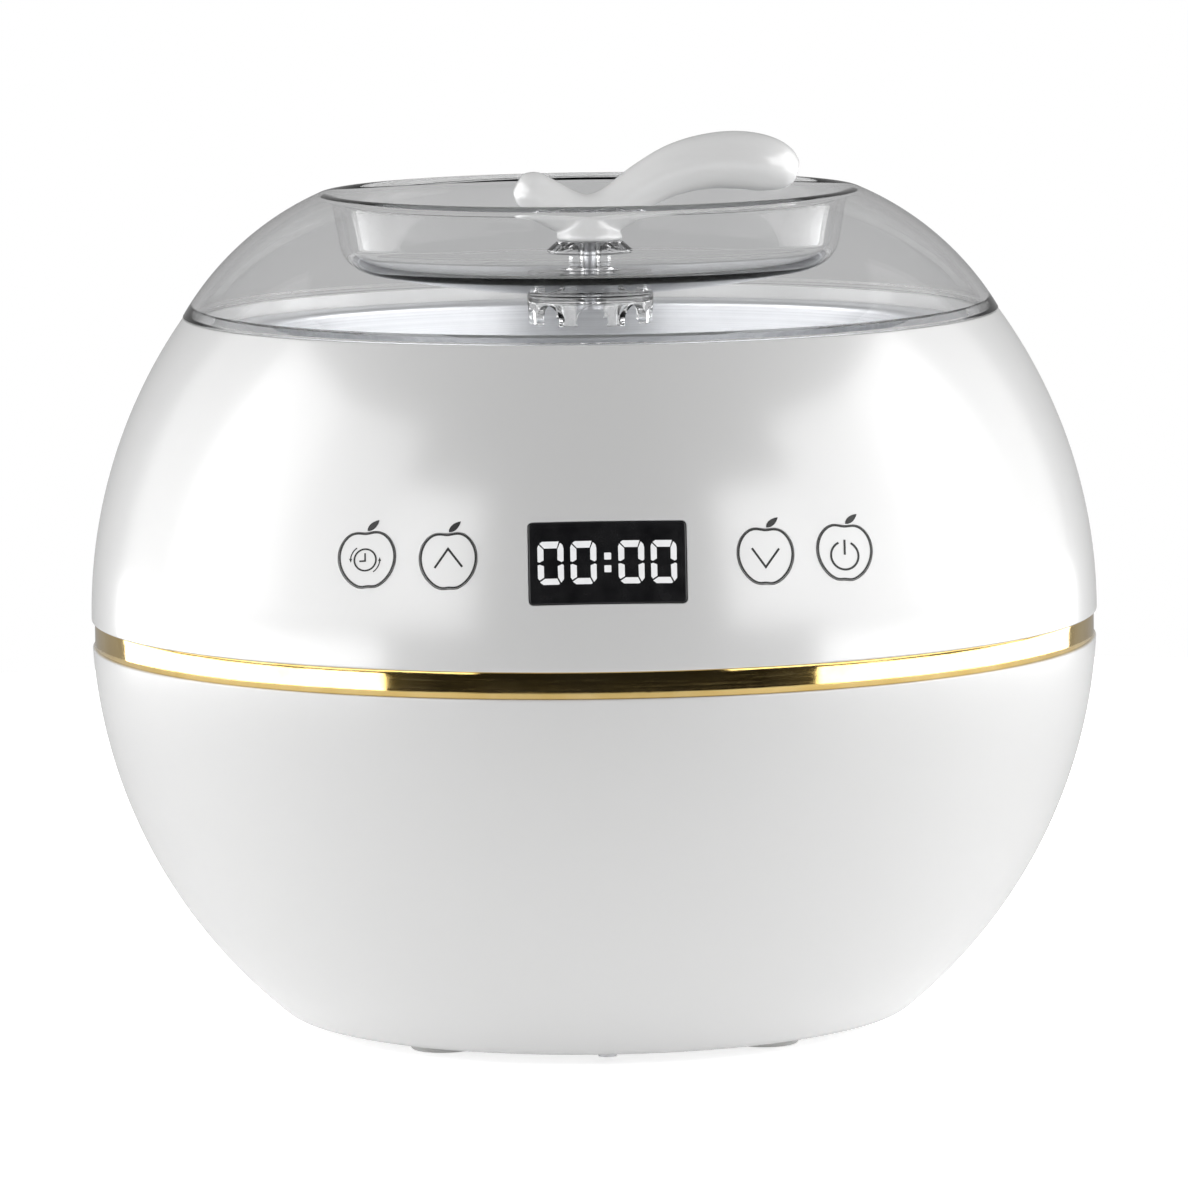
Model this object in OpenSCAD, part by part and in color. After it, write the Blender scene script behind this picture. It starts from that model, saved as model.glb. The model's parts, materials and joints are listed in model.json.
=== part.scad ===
// Round electric paraffin wax bath: a near-spherical two-shell body with a polished trim ring,
// a heated round tank, a front key panel and a clear lift-off lid with a leaf-shaped handle.
// The origin is on the resting surface, under the body's centre. +Z is up and the key panel faces -Y.

/* [Body] */
// Widest outer diameter, at the trim ring
body_d = 290; // [285:1:295]
// Height of the widest place above the surface it stands on
equator_z = 118.3; // [117:0.1:120]
// How far the shell's arc centre lies beyond the axis
arc_offset = 2.6; // [2:0.1:4]
// Wall thickness of both white shells
wall = 2.8; // [2.4:0.1:3.2]
// Radius of the flat ring under the lower shell
base_r = 86; // [85:0.5:88]
// Radius of the rounding between the lower shell's side and its base
base_round = 9.3; // [9:0.1:9.6]
// Height of the lower shell's bottom edge above the surface
base_z = 2.8; // [2.6:0.1:3]

/* [Trim ring] */
// Height of the trim ring's lower edge
trim_z0 = 110.5; // [109:0.1:112]
// Visible height of the trim ring
trim_h = 7.5; // [6:0.1:9]
// How deep the trim ring lies below the shells
trim_recess = 0.9; // [0.5:0.1:1.2]

/* [Lid] */
// Height of the joint between the body and the lid
rim_z = 205; // [204:0.1:206]
// Thickness of the clear lid
lid_wall = 2.6; // [2:0.1:3]
// Radius of the lid's shoulder arc
shoulder_r = 85.3; // [85:0.1:86]
// Distance of the shoulder arc's centre from the axis
shoulder_x = 44; // [43:0.5:45]
// Height of the shoulder arc's centre
shoulder_z = 161.2; // [161:0.1:162]
// Radius of the rolled crest round the dish
crest_round = 5; // [4.5:0.5:6]
// Distance of the crest from the axis
crest_x = 76; // [75:0.5:77]
// Height of the dish's lowest point
dish_z = 213; // [212:0.5:214]
// Radius of the corner between the dish's wall and its floor
dish_round = 8; // [7:1:10]
// Slope of the dish's wall, in degrees from level
dish_wall_slope = 80; // [76:1:82]
// Slope where the dish's floor meets the corner, in degrees
dish_floor_slope = 11.5; // [10:0.5:12]

/* [Tank] */
// Inside radius of the wax tank at its floor
tank_r = 99; // [97:0.5:99]
// Height of the tank's inner floor
tank_floor_z = 65.5; // [64:0.5:68]
// Thickness of the tank's metal
tank_wall = 1.5; // [1:0.1:2]
// Outer radius of the tank's flange
flange_r = 113.5; // [112:0.5:114]
// Inside corner radius of the tank's floor
tank_round = 10.5; // [8:0.5:12]

/* [Key panel] */
// Height of the panel's centre on the upper shell
panel_z = 147.7; // [146:0.1:150]
// Width of the display window
window_w = 43; // [40:0.5:44]
// Height of the display window
window_h = 22.4; // [20:0.2:23]
// Distance of the inner keys from the panel's centre
key_x_inner = 43.2; // [42.5:0.1:44]
// Distance of the outer keys from the panel's centre
key_x_outer = 65.3; // [64.5:0.1:66]
// Height of the two inner keys above the panel's centre line
key_lift = 1.6; // [1:0.1:2]
// How much higher the two outer keys sit
key_arch = 1.5; // [1:0.1:2]
// Width of a key
key_w = 15.8; // [15:0.1:16.2]
// Gap round a key
key_gap = 0.45; // [0.4:0.05:0.6]
// Travel of a key
key_travel = 1; // [0.5:0.1:1.2]

/* [Feet] */
// Radius of a foot
foot_r = 9.5; // [9:0.1:10]
// Distance of the feet from the axis
foot_ring = 71; // [69:0.5:71]
// Angle of the front feet from straight ahead, in degrees
foot_angle = 40; // [36:1:44]

/* [Mains inlet] */
// Height of the inlet's centre
inlet_z = 46; // [45:0.5:47]
// Depth of the inlet's mounting wall behind the axis
inlet_y = 108; // [107:0.5:109]

/* [Hidden] */
$fn = 96;
tiny = 0.01;
far = 200;

body_r = body_d / 2;
arc_x = -arc_offset;
arc_r = body_r + arc_offset;
upper_z0 = trim_z0 + trim_h;
trim_r = body_r - trim_recess;

// The base rounding touches the side's arc from inside and is level at the base ring.
base_arc_z = base_z + base_round;
base_arc_angle = atan2(base_arc_z - equator_z, base_r - arc_x);
plate_z0 = 3;
plate_h = 2.4;
plate_z1 = plate_z0 + plate_h;
plate_r = 83.2;
recess_r = 83.6;
lip_r = 77;
lip_z1 = 8;
base_screw_ring = 80.3;
base_screw_r = 1.4;
base_screw_hole = 1.7;
base_boss_r = 3.2;
base_boss_z1 = 20;

// The upper shell's tongue stands inside the lower shell's collar and snaps into its groove.
tongue_out = 141.6;
tongue_in = 139.2;
tongue_z0 = 103;
collar_in = 141.9;
collar_z0 = 101;
bead_z = 105;
bead = 0.8;

// Rim of the upper shell: an upright lip round a ledge that carries the tank's flange.
lip_top_z = rim_z - 0.4;
rim_in = 114.9;
ledge_z1 = 198;
ledge_h = 2.6;
ledge_in = 104;
seal_h = 1;
flange_z0 = ledge_z1 + seal_h;
flange_z1 = flange_z0 + tank_wall;

skirt_out = 114.4;
skirt_in = 112;
skirt_z0 = flange_z1 + 0.5;

function arc(cx, cz, r, a0, a1, n) =
    [for (i = [0 : n]) let (a = a0 + (a1 - a0) * i / n) [cx + r * cos(a), cz + r * sin(a)]];
function shell_angle(z, r) = asin((z - equator_z) / r);
function shell_r(z, depth) = arc_x + sqrt(pow(arc_r - depth, 2) - pow(z - equator_z, 2));
function lift(x) = key_lift + (abs(x) > key_boss_x ? key_arch : 0);

panel_r = shell_r(panel_z, 0);
panel_tilt = shell_angle(panel_z, arc_r);

// Stack behind the key panel, along the panel's axis; the surface at its middle is 0.
window_t = 2;
window_round = 1.2;
window_gap = 0.15;
window_ledge = 2;
module_n1 = -4.8;
module_n0 = -12;
display_board_n = module_n0;
key_board_n = -27;
board_t = 1.6;
board_boss_r = 2.6;
board_screw_r = 1;
board_hole_r = 1.25;
display_boss_x = 26;
display_boss_v = 9;
key_boss_x = (key_x_inner + key_x_outer) / 2;
key_boss_v = 10.5;
key_proud = 0.25;
key_flange = 1.3;
key_flange_t = 1.4;
key_depth = wall + 0.4 + key_flange_t;
key_stem_r = 2.2;
switch_h = 4.3;
switch_size = 6.2;
stem_end_n = key_board_n + switch_h + key_travel + 0.3;

// A plain fruit outline: a round body with a dip at the top and a small notch at the bottom.
fruit_half_h = 8.4;
fruit_drop = 0.4;
function fruit_dip(t) = 1 - 0.17 * exp(-pow(t / 24, 2)) - 0.06 * exp(-pow((180 - t) / 14, 2));
function fruit_taper(t) = 1 - 0.1 * pow((1 - cos(t)) / 2, 2);
function fruit_points(grow) =
    [for (i = [0 : 47]) let (a = i * 7.5, t = min(a, 360 - a))
        [(key_w / 2 * fruit_dip(t) * fruit_taper(t) + grow) * sin(a),
         (fruit_half_h * fruit_dip(t) + grow) * cos(a) + fruit_drop]];

crest_angle = atan2(sqrt(pow(shoulder_r - crest_round, 2) - pow(crest_x - shoulder_x, 2)),
    crest_x - shoulder_x);
crest_z = shoulder_z + (shoulder_r - crest_round) * sin(crest_angle);
crest_end = 90 + dish_wall_slope;
// Length of the dish's straight wall, so that its floor meets the corner at the stated slope.
corner_rise = dish_round * (cos(dish_floor_slope) - cos(dish_wall_slope));
corner_run = dish_round * (sin(dish_wall_slope) - sin(dish_floor_slope));
wall_top_x = crest_x - crest_round * sin(dish_wall_slope);
wall_top_z = crest_z + crest_round * cos(dish_wall_slope);
floor_rise = tan(dish_floor_slope / 2);
dish_wall_l = (wall_top_z - corner_rise - dish_z - floor_rise * (wall_top_x - corner_run))
    / (sin(dish_wall_slope) - floor_rise * cos(dish_wall_slope));
wall_end_x = wall_top_x - dish_wall_l * cos(dish_wall_slope);
wall_end_z = wall_top_z - dish_wall_l * sin(dish_wall_slope);
corner_x = wall_end_x - dish_round * sin(dish_wall_slope);
corner_z = wall_end_z + dish_round * cos(dish_wall_slope);
floor_x = wall_end_x - corner_run;
dish_floor_r = floor_x / sin(dish_floor_slope);

tank_corner_x = tank_r - tank_round;
tank_corner_z = tank_floor_z + tank_round;
tank_top_r = tank_r + 1.3;
tank_under_z = tank_floor_z - tank_wall;

heater_z0 = tank_under_z - 4;
heater_r = 78;
element_ring = 58;
element_r = 3.5;
element_gap_angle = 30;
stud_ring = 30;
stud_r = 2.5;
stud_l = 12;

main_board_z = 16;
post_r = 3;
board_x = 50;
board_y = 30;
post_inset = 4;

grid_r = 96.5;
grid_z0 = 78;
grid_h = 3;
grid_hole_r = 5;
grid_rings = [[22, 6], [40, 12], [58, 18], [76, 24]];
knob_r = 7;
knob_top_r = 10;
knob_h = 12;

pocket_w = 34;
pocket_h = 27;
pocket_wall = 2.2;
inlet_w = 27;
inlet_h = 20;
inlet_d = 18;
socket_w = 24.2;
socket_h = 16.4;
socket_d = 16.5;

stem_base_z = 225.6;
screw_r = 1.7;
screw_hole_r = 2.2;
petal_r = 18.2;
petal_wall = 2.8;
petal_z0 = 201.6;
petal_plate = 2.2;
petal_count = 8;
petal_hole_r = 4.4;
handle_bore_z1 = 234;

white = [0.95, 0.95, 0.95];
gold = [0.83, 0.66, 0.27];
clear = [0.8, 0.82, 0.84, 0.4];
steel = [0.75, 0.75, 0.77];
board_green = [0.1, 0.4, 0.2];
black = [0.05, 0.05, 0.06];

module lathe(points) {
    rotate_extrude($fn = 144) polygon(points);
}

module ring(r0, r1, z0, z1) {
    lathe([[r0, z0], [r1, z0], [r1, z1], [r0, z1]]);
}

// Everything inside the shell's outer surface less a depth, from the base to the rim.
module shell_core(depth) {
    r = arc_r - depth;
    lathe(concat([[0, base_z]],
        arc(arc_x, equator_z, r, shell_angle(base_z + 6, r), shell_angle(rim_z, r), 24),
        [[0, rim_z]]));
}

// The part of a shape that lies between two depths under the shell's outer surface.
module shell_layer(depth_out, depth_in) {
    difference() {
        shell_core(depth_out);
        shell_core(depth_in);
    }
}

// Places children in the panel's frame: x to the right, y up the panel, z outwards.
module at_panel() {
    translate([0, -panel_r, panel_z]) rotate([90 - panel_tilt, 0, 0]) children();
}

module rounded_bar(w, h, r, z0, z1) {
    translate([0, 0, z0]) linear_extrude(z1 - z0) union() {
        square([w - 2 * r, h], center = true);
        square([w, h - 2 * r], center = true);
        for (x = [-1, 1]) {
            for (y = [-1, 1]) {
                translate([x * (w / 2 - r), y * (h / 2 - r)]) circle(r, $fn = 24);
            }
        }
    }
}

module fruit(grow, z0, z1) {
    translate([0, 0, z0]) linear_extrude(z1 - z0) polygon(fruit_points(grow));
}

module each_foot() {
    for (a = [foot_angle, -foot_angle, 180 - foot_angle, 180 + foot_angle]) {
        rotate([0, 0, a]) translate([0, -foot_ring, 0]) children();
    }
}

module each_base_screw() {
    for (a = [0 : 90 : 270]) {
        rotate([0, 0, a]) translate([base_screw_ring, 0, 0]) children();
    }
}

module each_display_boss() {
    for (x = [-1, 1]) {
        for (v = [-1, 1]) {
            translate([x * display_boss_x, v * display_boss_v, 0]) children();
        }
    }
}

module each_key_boss(side) {
    for (v = [-1, 1]) {
        translate([side * key_boss_x, v * key_boss_v, 0]) children();
    }
}

module panel_boss(z0) {
    translate([0, 0, z0]) cylinder(h = far, r = board_boss_r, $fn = 32);
}

module panel_pilot(z0) {
    translate([0, 0, z0 - 1]) cylinder(h = 7, r = board_screw_r, $fn = 24);
}

// A pan-head screw that points up, with the underside of its head at height 0.
module pan_screw(head_r, head_h, shank_r, shank_l) {
    translate([0, 0, -head_h]) cylinder(h = head_h, r = head_r, $fn = 32);
    cylinder(h = shank_l, r = shank_r, $fn = 24);
}

function unit(v) = v / norm(v);
function along(p, i) = unit(p[min(i + 1, len(p) - 1)] - p[max(i - 1, 0)]);
function side_of(t) = unit(cross(t, [0.3, 0.5, 0.81]));
function blend4(a, b, c, d, t) =
    0.5 * (2 * b + (c - a) * t + (2 * a - 5 * b + 4 * c - d) * t * t
        + (3 * b - a - 3 * c + d) * t * t * t);
// A smooth curve through the points p, with n steps between neighbours.
function smooth(p, n) = let (m = len(p) - 1)
    concat([for (i = [0 : m - 1]) for (k = [0 : n - 1])
        blend4(p[max(i - 1, 0)], p[i], p[i + 1], p[min(i + 2, m)], k / n)], [p[m]]);

// Closes a stack of rings, each of n points, into one solid.
module skin(rings, n) {
    m = len(rings);
    polyhedron(
        points = [for (ring_points = rings) each ring_points],
        faces = concat(
            [[for (k = [0 : n - 1]) k]],
            [for (i = [0 : m - 2]) for (k = [0 : n - 1]) let (j = (k + 1) % n)
                each [[i * n + k, (i + 1) * n + k, (i + 1) * n + j],
                      [i * n + k, (i + 1) * n + j, i * n + j]]],
            [[for (k = [n - 1 : -1 : 0]) (m - 1) * n + k]]));
}

module wire(route, r) {
    sides = 8;
    p = smooth(route, 4);
    rings = [for (i = [0 : len(p) - 1])
        let (t = along(p, i), u = side_of(t), w = cross(u, t))
        [for (k = [0 : sides - 1]) let (a = 360 * k / sides) p[i] + r * (cos(a) * u + sin(a) * w)]];
    skin(rings, sides);
}

module lower_shell() {
    inner_a = shell_angle(lip_z1, arc_r - wall);
    color(white) difference() {
        union() {
            lathe(concat(
                [[collar_in, trim_z0]],
                arc(arc_x, equator_z, arc_r, shell_angle(trim_z0, arc_r), base_arc_angle, 20),
                arc(base_r, base_arc_z, base_round, base_arc_angle - 4, -90, 6),
                [[recess_r, base_z], [recess_r, plate_z1], [lip_r, plate_z1], [lip_r, lip_z1]],
                arc(arc_x, equator_z, arc_r - wall, inner_a,
                    shell_angle(collar_z0 - 2, arc_r - wall), 20),
                [[collar_in, collar_z0], [collar_in, bead_z - 1], [collar_in + bead, bead_z],
                 [collar_in, bead_z + 1]]));
            intersection() {
                each_base_screw() translate([0, 0, plate_z1 + tiny])
                    cylinder(h = base_boss_z1 - plate_z1, r = base_boss_r, $fn = 32);
                shell_core(wall / 2);
            }
            intersection() {
                inlet_block(pocket_w + 2 * pocket_wall, pocket_h + 2 * pocket_wall,
                    inlet_y - pocket_wall, far);
                shell_core(wall / 2);
            }
        }
        each_base_screw() cylinder(h = base_boss_z1 - 3, r = base_screw_r, $fn = 24);
        inlet_block(pocket_w, pocket_h, inlet_y, far);
        inlet_block(inlet_w + 0.4, inlet_h + 0.4, inlet_y - 10, far);
    }
}

module inlet_block(w, h, y0, y1) {
    translate([-w / 2, y0, inlet_z - h / 2]) cube([w, y1 - y0, h]);
}

module upper_shell() {
    color(white) difference() {
        union() {
            lathe(concat(
                [[tongue_in, tongue_z0], [tongue_out, tongue_z0], [tongue_out, bead_z - 0.8],
                 [tongue_out + bead, bead_z], [tongue_out, bead_z + 0.8], [tongue_out, upper_z0]],
                arc(arc_x, equator_z, arc_r, shell_angle(upper_z0, arc_r),
                    shell_angle(lip_top_z, arc_r), 22),
                [[rim_in, lip_top_z], [rim_in, ledge_z1], [ledge_in, ledge_z1],
                 [ledge_in, ledge_z1 - ledge_h]],
                arc(arc_x, equator_z, arc_r - wall, shell_angle(ledge_z1 - ledge_h, arc_r - wall),
                    shell_angle(upper_z0 + 6, arc_r - wall), 18),
                [[tongue_in, upper_z0 + 1]]));
            intersection() {
                at_panel() {
                    each_display_boss() panel_boss(display_board_n);
                    each_key_boss(-1) panel_boss(key_board_n);
                    each_key_boss(1) panel_boss(key_board_n);
                }
                shell_core(wall / 2);
            }
        }
        at_panel() {
            each_display_boss() panel_pilot(display_board_n);
            each_key_boss(-1) panel_pilot(key_board_n);
            each_key_boss(1) panel_pilot(key_board_n);
            rounded_bar(window_w - 2 * window_ledge, window_h - 2 * window_ledge, window_round, -20, 5);
            for (x = [-key_x_outer, -key_x_inner, key_x_inner, key_x_outer]) {
                translate([x, lift(x), 0]) fruit(key_gap, key_board_n + 3, 5);
            }
        }
        intersection() {
            at_panel() rounded_bar(window_w + 2 * window_gap, window_h + 2 * window_gap,
                window_round, -8, 5);
            shell_layer(-1, window_t);
        }
    }
}

module trim_ring() {
    color(gold) lathe([[tongue_out, trim_z0], [trim_r - 0.4, trim_z0], [trim_r, trim_z0 + 0.4],
        [trim_r, upper_z0 - 0.4], [trim_r - 0.4, upper_z0], [tongue_out, upper_z0]]);
}

module base_plate() {
    color(white) difference() {
        union() {
            ring(0, plate_r, plate_z0, plate_z1);
            for (x = [-1, 1]) {
                for (y = [-1, 1]) {
                    translate([x * (board_x - post_inset), y * (board_y - post_inset), plate_z1 - tiny])
                        cylinder(h = main_board_z - plate_z1 + tiny, r = post_r, $fn = 32);
                }
            }
        }
        each_foot() cylinder(h = 10, r = 3, $fn = 32);
        each_base_screw() cylinder(h = 10, r = base_screw_hole, $fn = 24);
        for (x = [-1, 1]) {
            for (y = [-1, 1]) {
                translate([x * (board_x - post_inset), y * (board_y - post_inset), 8])
                    cylinder(h = 10, r = board_screw_r, $fn = 24);
            }
        }
        for (i = [-3 : 3]) {
            translate([i * 9 - 2, -16, 0]) cube([4, 32, 8]);
        }
    }
}

module foot() {
    color([0.88, 0.88, 0.88]) lathe([[0, 0], [foot_r - 0.9, 0], [foot_r, 0.9], [foot_r, plate_z0],
        [3, plate_z0], [3, plate_z1], [3.7, plate_z1], [2.4, plate_z1 + 3], [0, plate_z1 + 3]]);
}

module foot_at(a) {
    rotate([0, 0, a]) translate([0, -foot_ring, 0]) foot();
}

module base_screws() {
    color(steel) each_base_screw() translate([0, 0, plate_z0])
        pan_screw(2.6, 1.6, base_screw_r, 12);
}

module wax_tank() {
    color(steel) lathe(concat([[0, tank_floor_z]],
        arc(tank_corner_x, tank_corner_z, tank_round, -90, 0, 8),
        [[tank_top_r, flange_z1], [flange_r, flange_z1], [flange_r, flange_z0],
         [tank_top_r + tank_wall, flange_z0]],
        arc(tank_corner_x, tank_corner_z, tank_round + tank_wall, 0, -90, 8),
        [[0, tank_under_z]]));
}

module tank_seal() {
    color([0.7, 0.7, 0.7]) ring(ledge_in + 1, flange_r - 1.5, ledge_z1, flange_z0);
}

module insulation_jacket() {
    color([0.85, 0.82, 0.7]) ring(tank_r + 6, tank_r + 10, tank_under_z + 2, equator_z + 10);
}

module heater_plate() {
    color([0.6, 0.6, 0.62]) difference() {
        ring(0, heater_r, heater_z0, tank_under_z);
        rotate_extrude() translate([element_ring, heater_z0 - 1.5]) circle(element_r + 0.1, $fn = 32);
        for (a = [0 : 120 : 240]) {
            rotate([0, 0, a]) translate([stud_ring, 0, heater_z0 - 1]) cylinder(h = 8, r = stud_r + 0.3);
        }
    }
}

module heater_element() {
    color([0.55, 0.53, 0.5]) union() {
        rotate([0, 0, 90 + element_gap_angle / 2]) rotate_extrude(angle = 360 - element_gap_angle)
            translate([element_ring, heater_z0 - 1.5]) circle(element_r, $fn = 32);
        for (s = [-1, 1]) {
            rotate([0, 0, 90 + s * (element_gap_angle / 2 + 2)])
                translate([element_ring, 0, heater_z0 - 11]) cylinder(h = 8, r = 2, $fn = 24);
        }
    }
}

module heater_studs() {
    color(steel) for (a = [0 : 120 : 240]) {
        rotate([0, 0, a]) translate([stud_ring, 0, tank_under_z - stud_l])
            cylinder(h = stud_l, r = stud_r, $fn = 32);
    }
}

module heater_nuts() {
    color(steel) for (a = [0 : 120 : 240]) {
        rotate([0, 0, a]) translate([stud_ring, 0, heater_z0 - 4]) difference() {
            cylinder(h = 4, r = 4.6, $fn = 6);
            translate([0, 0, -1]) cylinder(h = 6, r = stud_r, $fn = 32);
        }
    }
}

module temperature_sensor() {
    color([0.8, 0.6, 0.3]) translate([0, -42, heater_z0 - 7]) cylinder(h = 7, r = 3, $fn = 32);
}

module thermal_fuse() {
    color([0.8, 0.8, 0.75]) translate([-8, 42, heater_z0 - 2.5]) rotate([0, 90, 0])
        cylinder(h = 16, r = 2.5, $fn = 32);
}

module main_board() {
    color(board_green) difference() {
        translate([-board_x, -board_y, main_board_z]) cube([2 * board_x, 2 * board_y, board_t]);
        for (x = [-1, 1]) {
            for (y = [-1, 1]) {
                translate([x * (board_x - post_inset), y * (board_y - post_inset), main_board_z - 1])
                    cylinder(h = 5, r = board_hole_r, $fn = 24);
            }
        }
    }
}

module on_main_board(x, y) {
    translate([x, y, main_board_z + board_t]) children();
}

module relay() {
    color([0.1, 0.2, 0.6]) on_main_board(20, 2) cube([19, 15.5, 15]);
}

module transformer() {
    color([0.75, 0.7, 0.2]) on_main_board(-38, -14) union() {
        cube([24, 20, 5]);
        translate([3, 2, 5]) cube([18, 16, 9]);
        translate([0, 0, 14]) cube([24, 20, 3]);
    }
}

module capacitor() {
    color(black) on_main_board(-2, -6) cylinder(h = 20, r = 6.5);
}

module terminal_block() {
    color([0.2, 0.5, 0.3]) on_main_board(-12, 17) difference() {
        cube([24, 9, 10]);
        for (i = [0 : 3]) {
            translate([3 + 6 * i, 4, 6]) cylinder(h = 6, r = 1.8, $fn = 24);
        }
    }
}

module main_board_screws() {
    color(steel) for (x = [-1, 1]) {
        for (y = [-1, 1]) {
            translate([x * (board_x - post_inset), y * (board_y - post_inset), main_board_z + board_t])
                mirror([0, 0, 1]) pan_screw(2.2, 1.4, board_screw_r, 8);
        }
    }
}

module display_window() {
    color(black) intersection() {
        at_panel() rounded_bar(window_w, window_h, window_round, -8, 5);
        shell_layer(0, window_t);
    }
}

module display_module() {
    color([0.15, 0.15, 0.15]) at_panel() translate([-19, -9, module_n0])
        cube([38, 18, module_n1 - module_n0]);
}

module display_board() {
    color(board_green) at_panel() difference() {
        translate([-30, -13, display_board_n - board_t]) cube([60, 26, board_t]);
        each_display_boss() translate([0, 0, display_board_n - 3])
            cylinder(h = 6, r = board_hole_r, $fn = 24);
    }
}

module key_board(side) {
    color(board_green) at_panel() difference() {
        translate([side * 53 - 19, -14, key_board_n - board_t]) cube([38, 28, board_t]);
        each_key_boss(side) translate([0, 0, key_board_n - 3])
            cylinder(h = 6, r = board_hole_r, $fn = 24);
    }
}

module tact_switches() {
    color(black) at_panel() for (x = [-key_x_outer, -key_x_inner, key_x_inner, key_x_outer]) {
        translate([x - switch_size / 2, lift(x) - switch_size / 2, key_board_n])
            cube([switch_size, switch_size, switch_h - 1]);
        translate([x, lift(x), key_board_n + switch_h - 1 - tiny])
            cylinder(h = 1 + tiny, r = 1.7, $fn = 24);
    }
}

module buzzer() {
    color(black) at_panel() translate([14, 0, display_board_n - board_t - 7])
        cylinder(h = 7, r = 6);
}

module board_screws() {
    color(steel) at_panel() {
        each_display_boss() translate([0, 0, display_board_n - board_t])
            pan_screw(2.2, 1.4, board_screw_r, 7);
        each_key_boss(-1) translate([0, 0, key_board_n - board_t])
            pan_screw(2.2, 1.4, board_screw_r, 7);
        each_key_boss(1) translate([0, 0, key_board_n - board_t])
            pan_screw(2.2, 1.4, board_screw_r, 7);
    }
}

// A key: a cap that follows the shell, a flange behind the wall and a stem towards its switch.
module key(x) {
    color(white) union() {
        intersection() {
            at_panel() translate([x, lift(x), 0]) fruit(0, key_board_n + 2, 5);
            shell_layer(-key_proud, key_depth);
        }
        intersection() {
            at_panel() translate([x, lift(x), 0]) fruit(key_flange, key_board_n + 2, 5);
            shell_layer(wall + 0.4, key_depth);
        }
        intersection() {
            at_panel() translate([x, lift(x), stem_end_n])
                cylinder(h = far, r = key_stem_r, $fn = 32);
            shell_core(key_depth - 0.5);
        }
    }
}

module power_inlet() {
    color(black) difference() {
        union() {
            inlet_block(31, 24, inlet_y, inlet_y + 1.6);
            inlet_block(inlet_w, inlet_h, inlet_y - inlet_d, inlet_y + tiny);
        }
        inlet_block(socket_w, socket_h, inlet_y + 1.6 - socket_d, far);
    }
}

module inlet_pins() {
    color([0.8, 0.8, 0.8]) for (pin = [[-7, -2], [0, 2], [7, -2]]) {
        translate([pin[0] - 1, inlet_y - inlet_d - 6, inlet_z + pin[1] - 2]) cube([2, 20.5, 4]);
    }
}

module mains_wires() {
    color([0.5, 0.3, 0.15]) for (pin = [[-7, -2, -6], [0, 2, 0], [7, -2, 6]]) {
        wire([[pin[0], inlet_y - inlet_d - 6, inlet_z + pin[1]], [pin[0], 78, inlet_z + pin[1] - 1],
              [pin[0], 62, 38], [pin[2], 46, 26], [pin[2], 36, 23.6], [pin[2], 26, 23.6]], 1.3);
    }
}

module heater_wires() {
    color([0.8, 0.1, 0.1]) for (s = [-1, 1]) {
        wire([[-s * 17, 55.4, heater_z0 - 11], [-s * 19, 54, 40], [-s * 28, 44, 32],
              [-s * 31, 32, 29], [-s * 29, 23, 26], [-s * 29, 23, 17.6]], 1.2);
    }
}

module signal_cable() {
    color([0.3, 0.3, 0.32]) wire([[0, -26, 17.6], [0, -34, 24], [0, -66, 30], [0, -100, 44],
        [0, -117, 70], [0, -121, 108], [0, -121, 130], [0, -124, 141], [0, -128.6, 145]], 1.6);
}

function lid_profile(t) = concat(
    arc(shoulder_x, shoulder_z, shoulder_r - t,
        asin((rim_z + (t > 0 ? 2 : 0) - shoulder_z) / (shoulder_r - t)), crest_angle, 14),
    arc(crest_x, crest_z, crest_round - t, crest_angle + 8, crest_end, 10),
    arc(corner_x, corner_z, dish_round + t, dish_wall_slope - 90, dish_floor_slope - 90, 8),
    arc(0, dish_z + dish_floor_r, dish_floor_r + t, dish_floor_slope - 91, -90, 6));

function reversed(list) = [for (i = [len(list) - 1 : -1 : 0]) list[i]];

module lid_shell() {
    color(clear) difference() {
        lathe(concat(lid_profile(0), reversed(lid_profile(lid_wall)),
            [[skirt_in, rim_z + 1], [skirt_in, skirt_z0], [skirt_out, skirt_z0],
             [skirt_out, rim_z]]));
        translate([0, 0, dish_z - 5]) cylinder(h = 10, r = screw_hole_r, $fn = 32);
    }
}

module handle_collar() {
    color(clear) difference() {
        lathe([[0, dish_z + 0.2], [8.6, dish_z + 0.2], [8.6, dish_z + 0.9], [6, dish_z + 1.6],
               [6, dish_z + 8.4], [12.3, dish_z + 9], [12.3, dish_z + 10], [9.4, stem_base_z],
               [0, stem_base_z]]);
        translate([0, 0, dish_z - 5]) cylinder(h = 30, r = screw_hole_r, $fn = 32);
    }
}

module petal_collar() {
    plate_top = dish_z - lid_wall - 0.05;
    color(clear) difference() {
        union() {
            ring(0, petal_r, plate_top - petal_plate, plate_top);
            ring(petal_r - petal_wall, petal_r, petal_z0, plate_top - petal_plate / 2);
        }
        translate([0, 0, petal_z0 - 1]) cylinder(h = 20, r = screw_hole_r, $fn = 32);
        for (i = [0 : petal_count / 2 - 1]) {
            rotate([0, 0, i * 360 / petal_count]) translate([0, petal_r + 5, petal_z0 + 1.6])
                rotate([90, 0, 0]) cylinder(h = 2 * petal_r + 10, r = petal_hole_r, $fn = 32);
        }
    }
}

// The handle's spine, left tip to right tip, as [x, height, radius].
handle_spine = [[-20.5, 242, 3], [-17.5, 240.2, 5.6], [-12, 236.8, 6.2], [-6, 233.6, 6.2],
    [0, 232.2, 6.3], [7, 234.6, 6.3], [16, 240.8, 6.6], [25, 245.2, 7.4], [34, 247.3, 8],
    [43, 247.6, 8.4], [51, 246.4, 8], [57, 244.8, 6], [60, 244, 3]];

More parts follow.
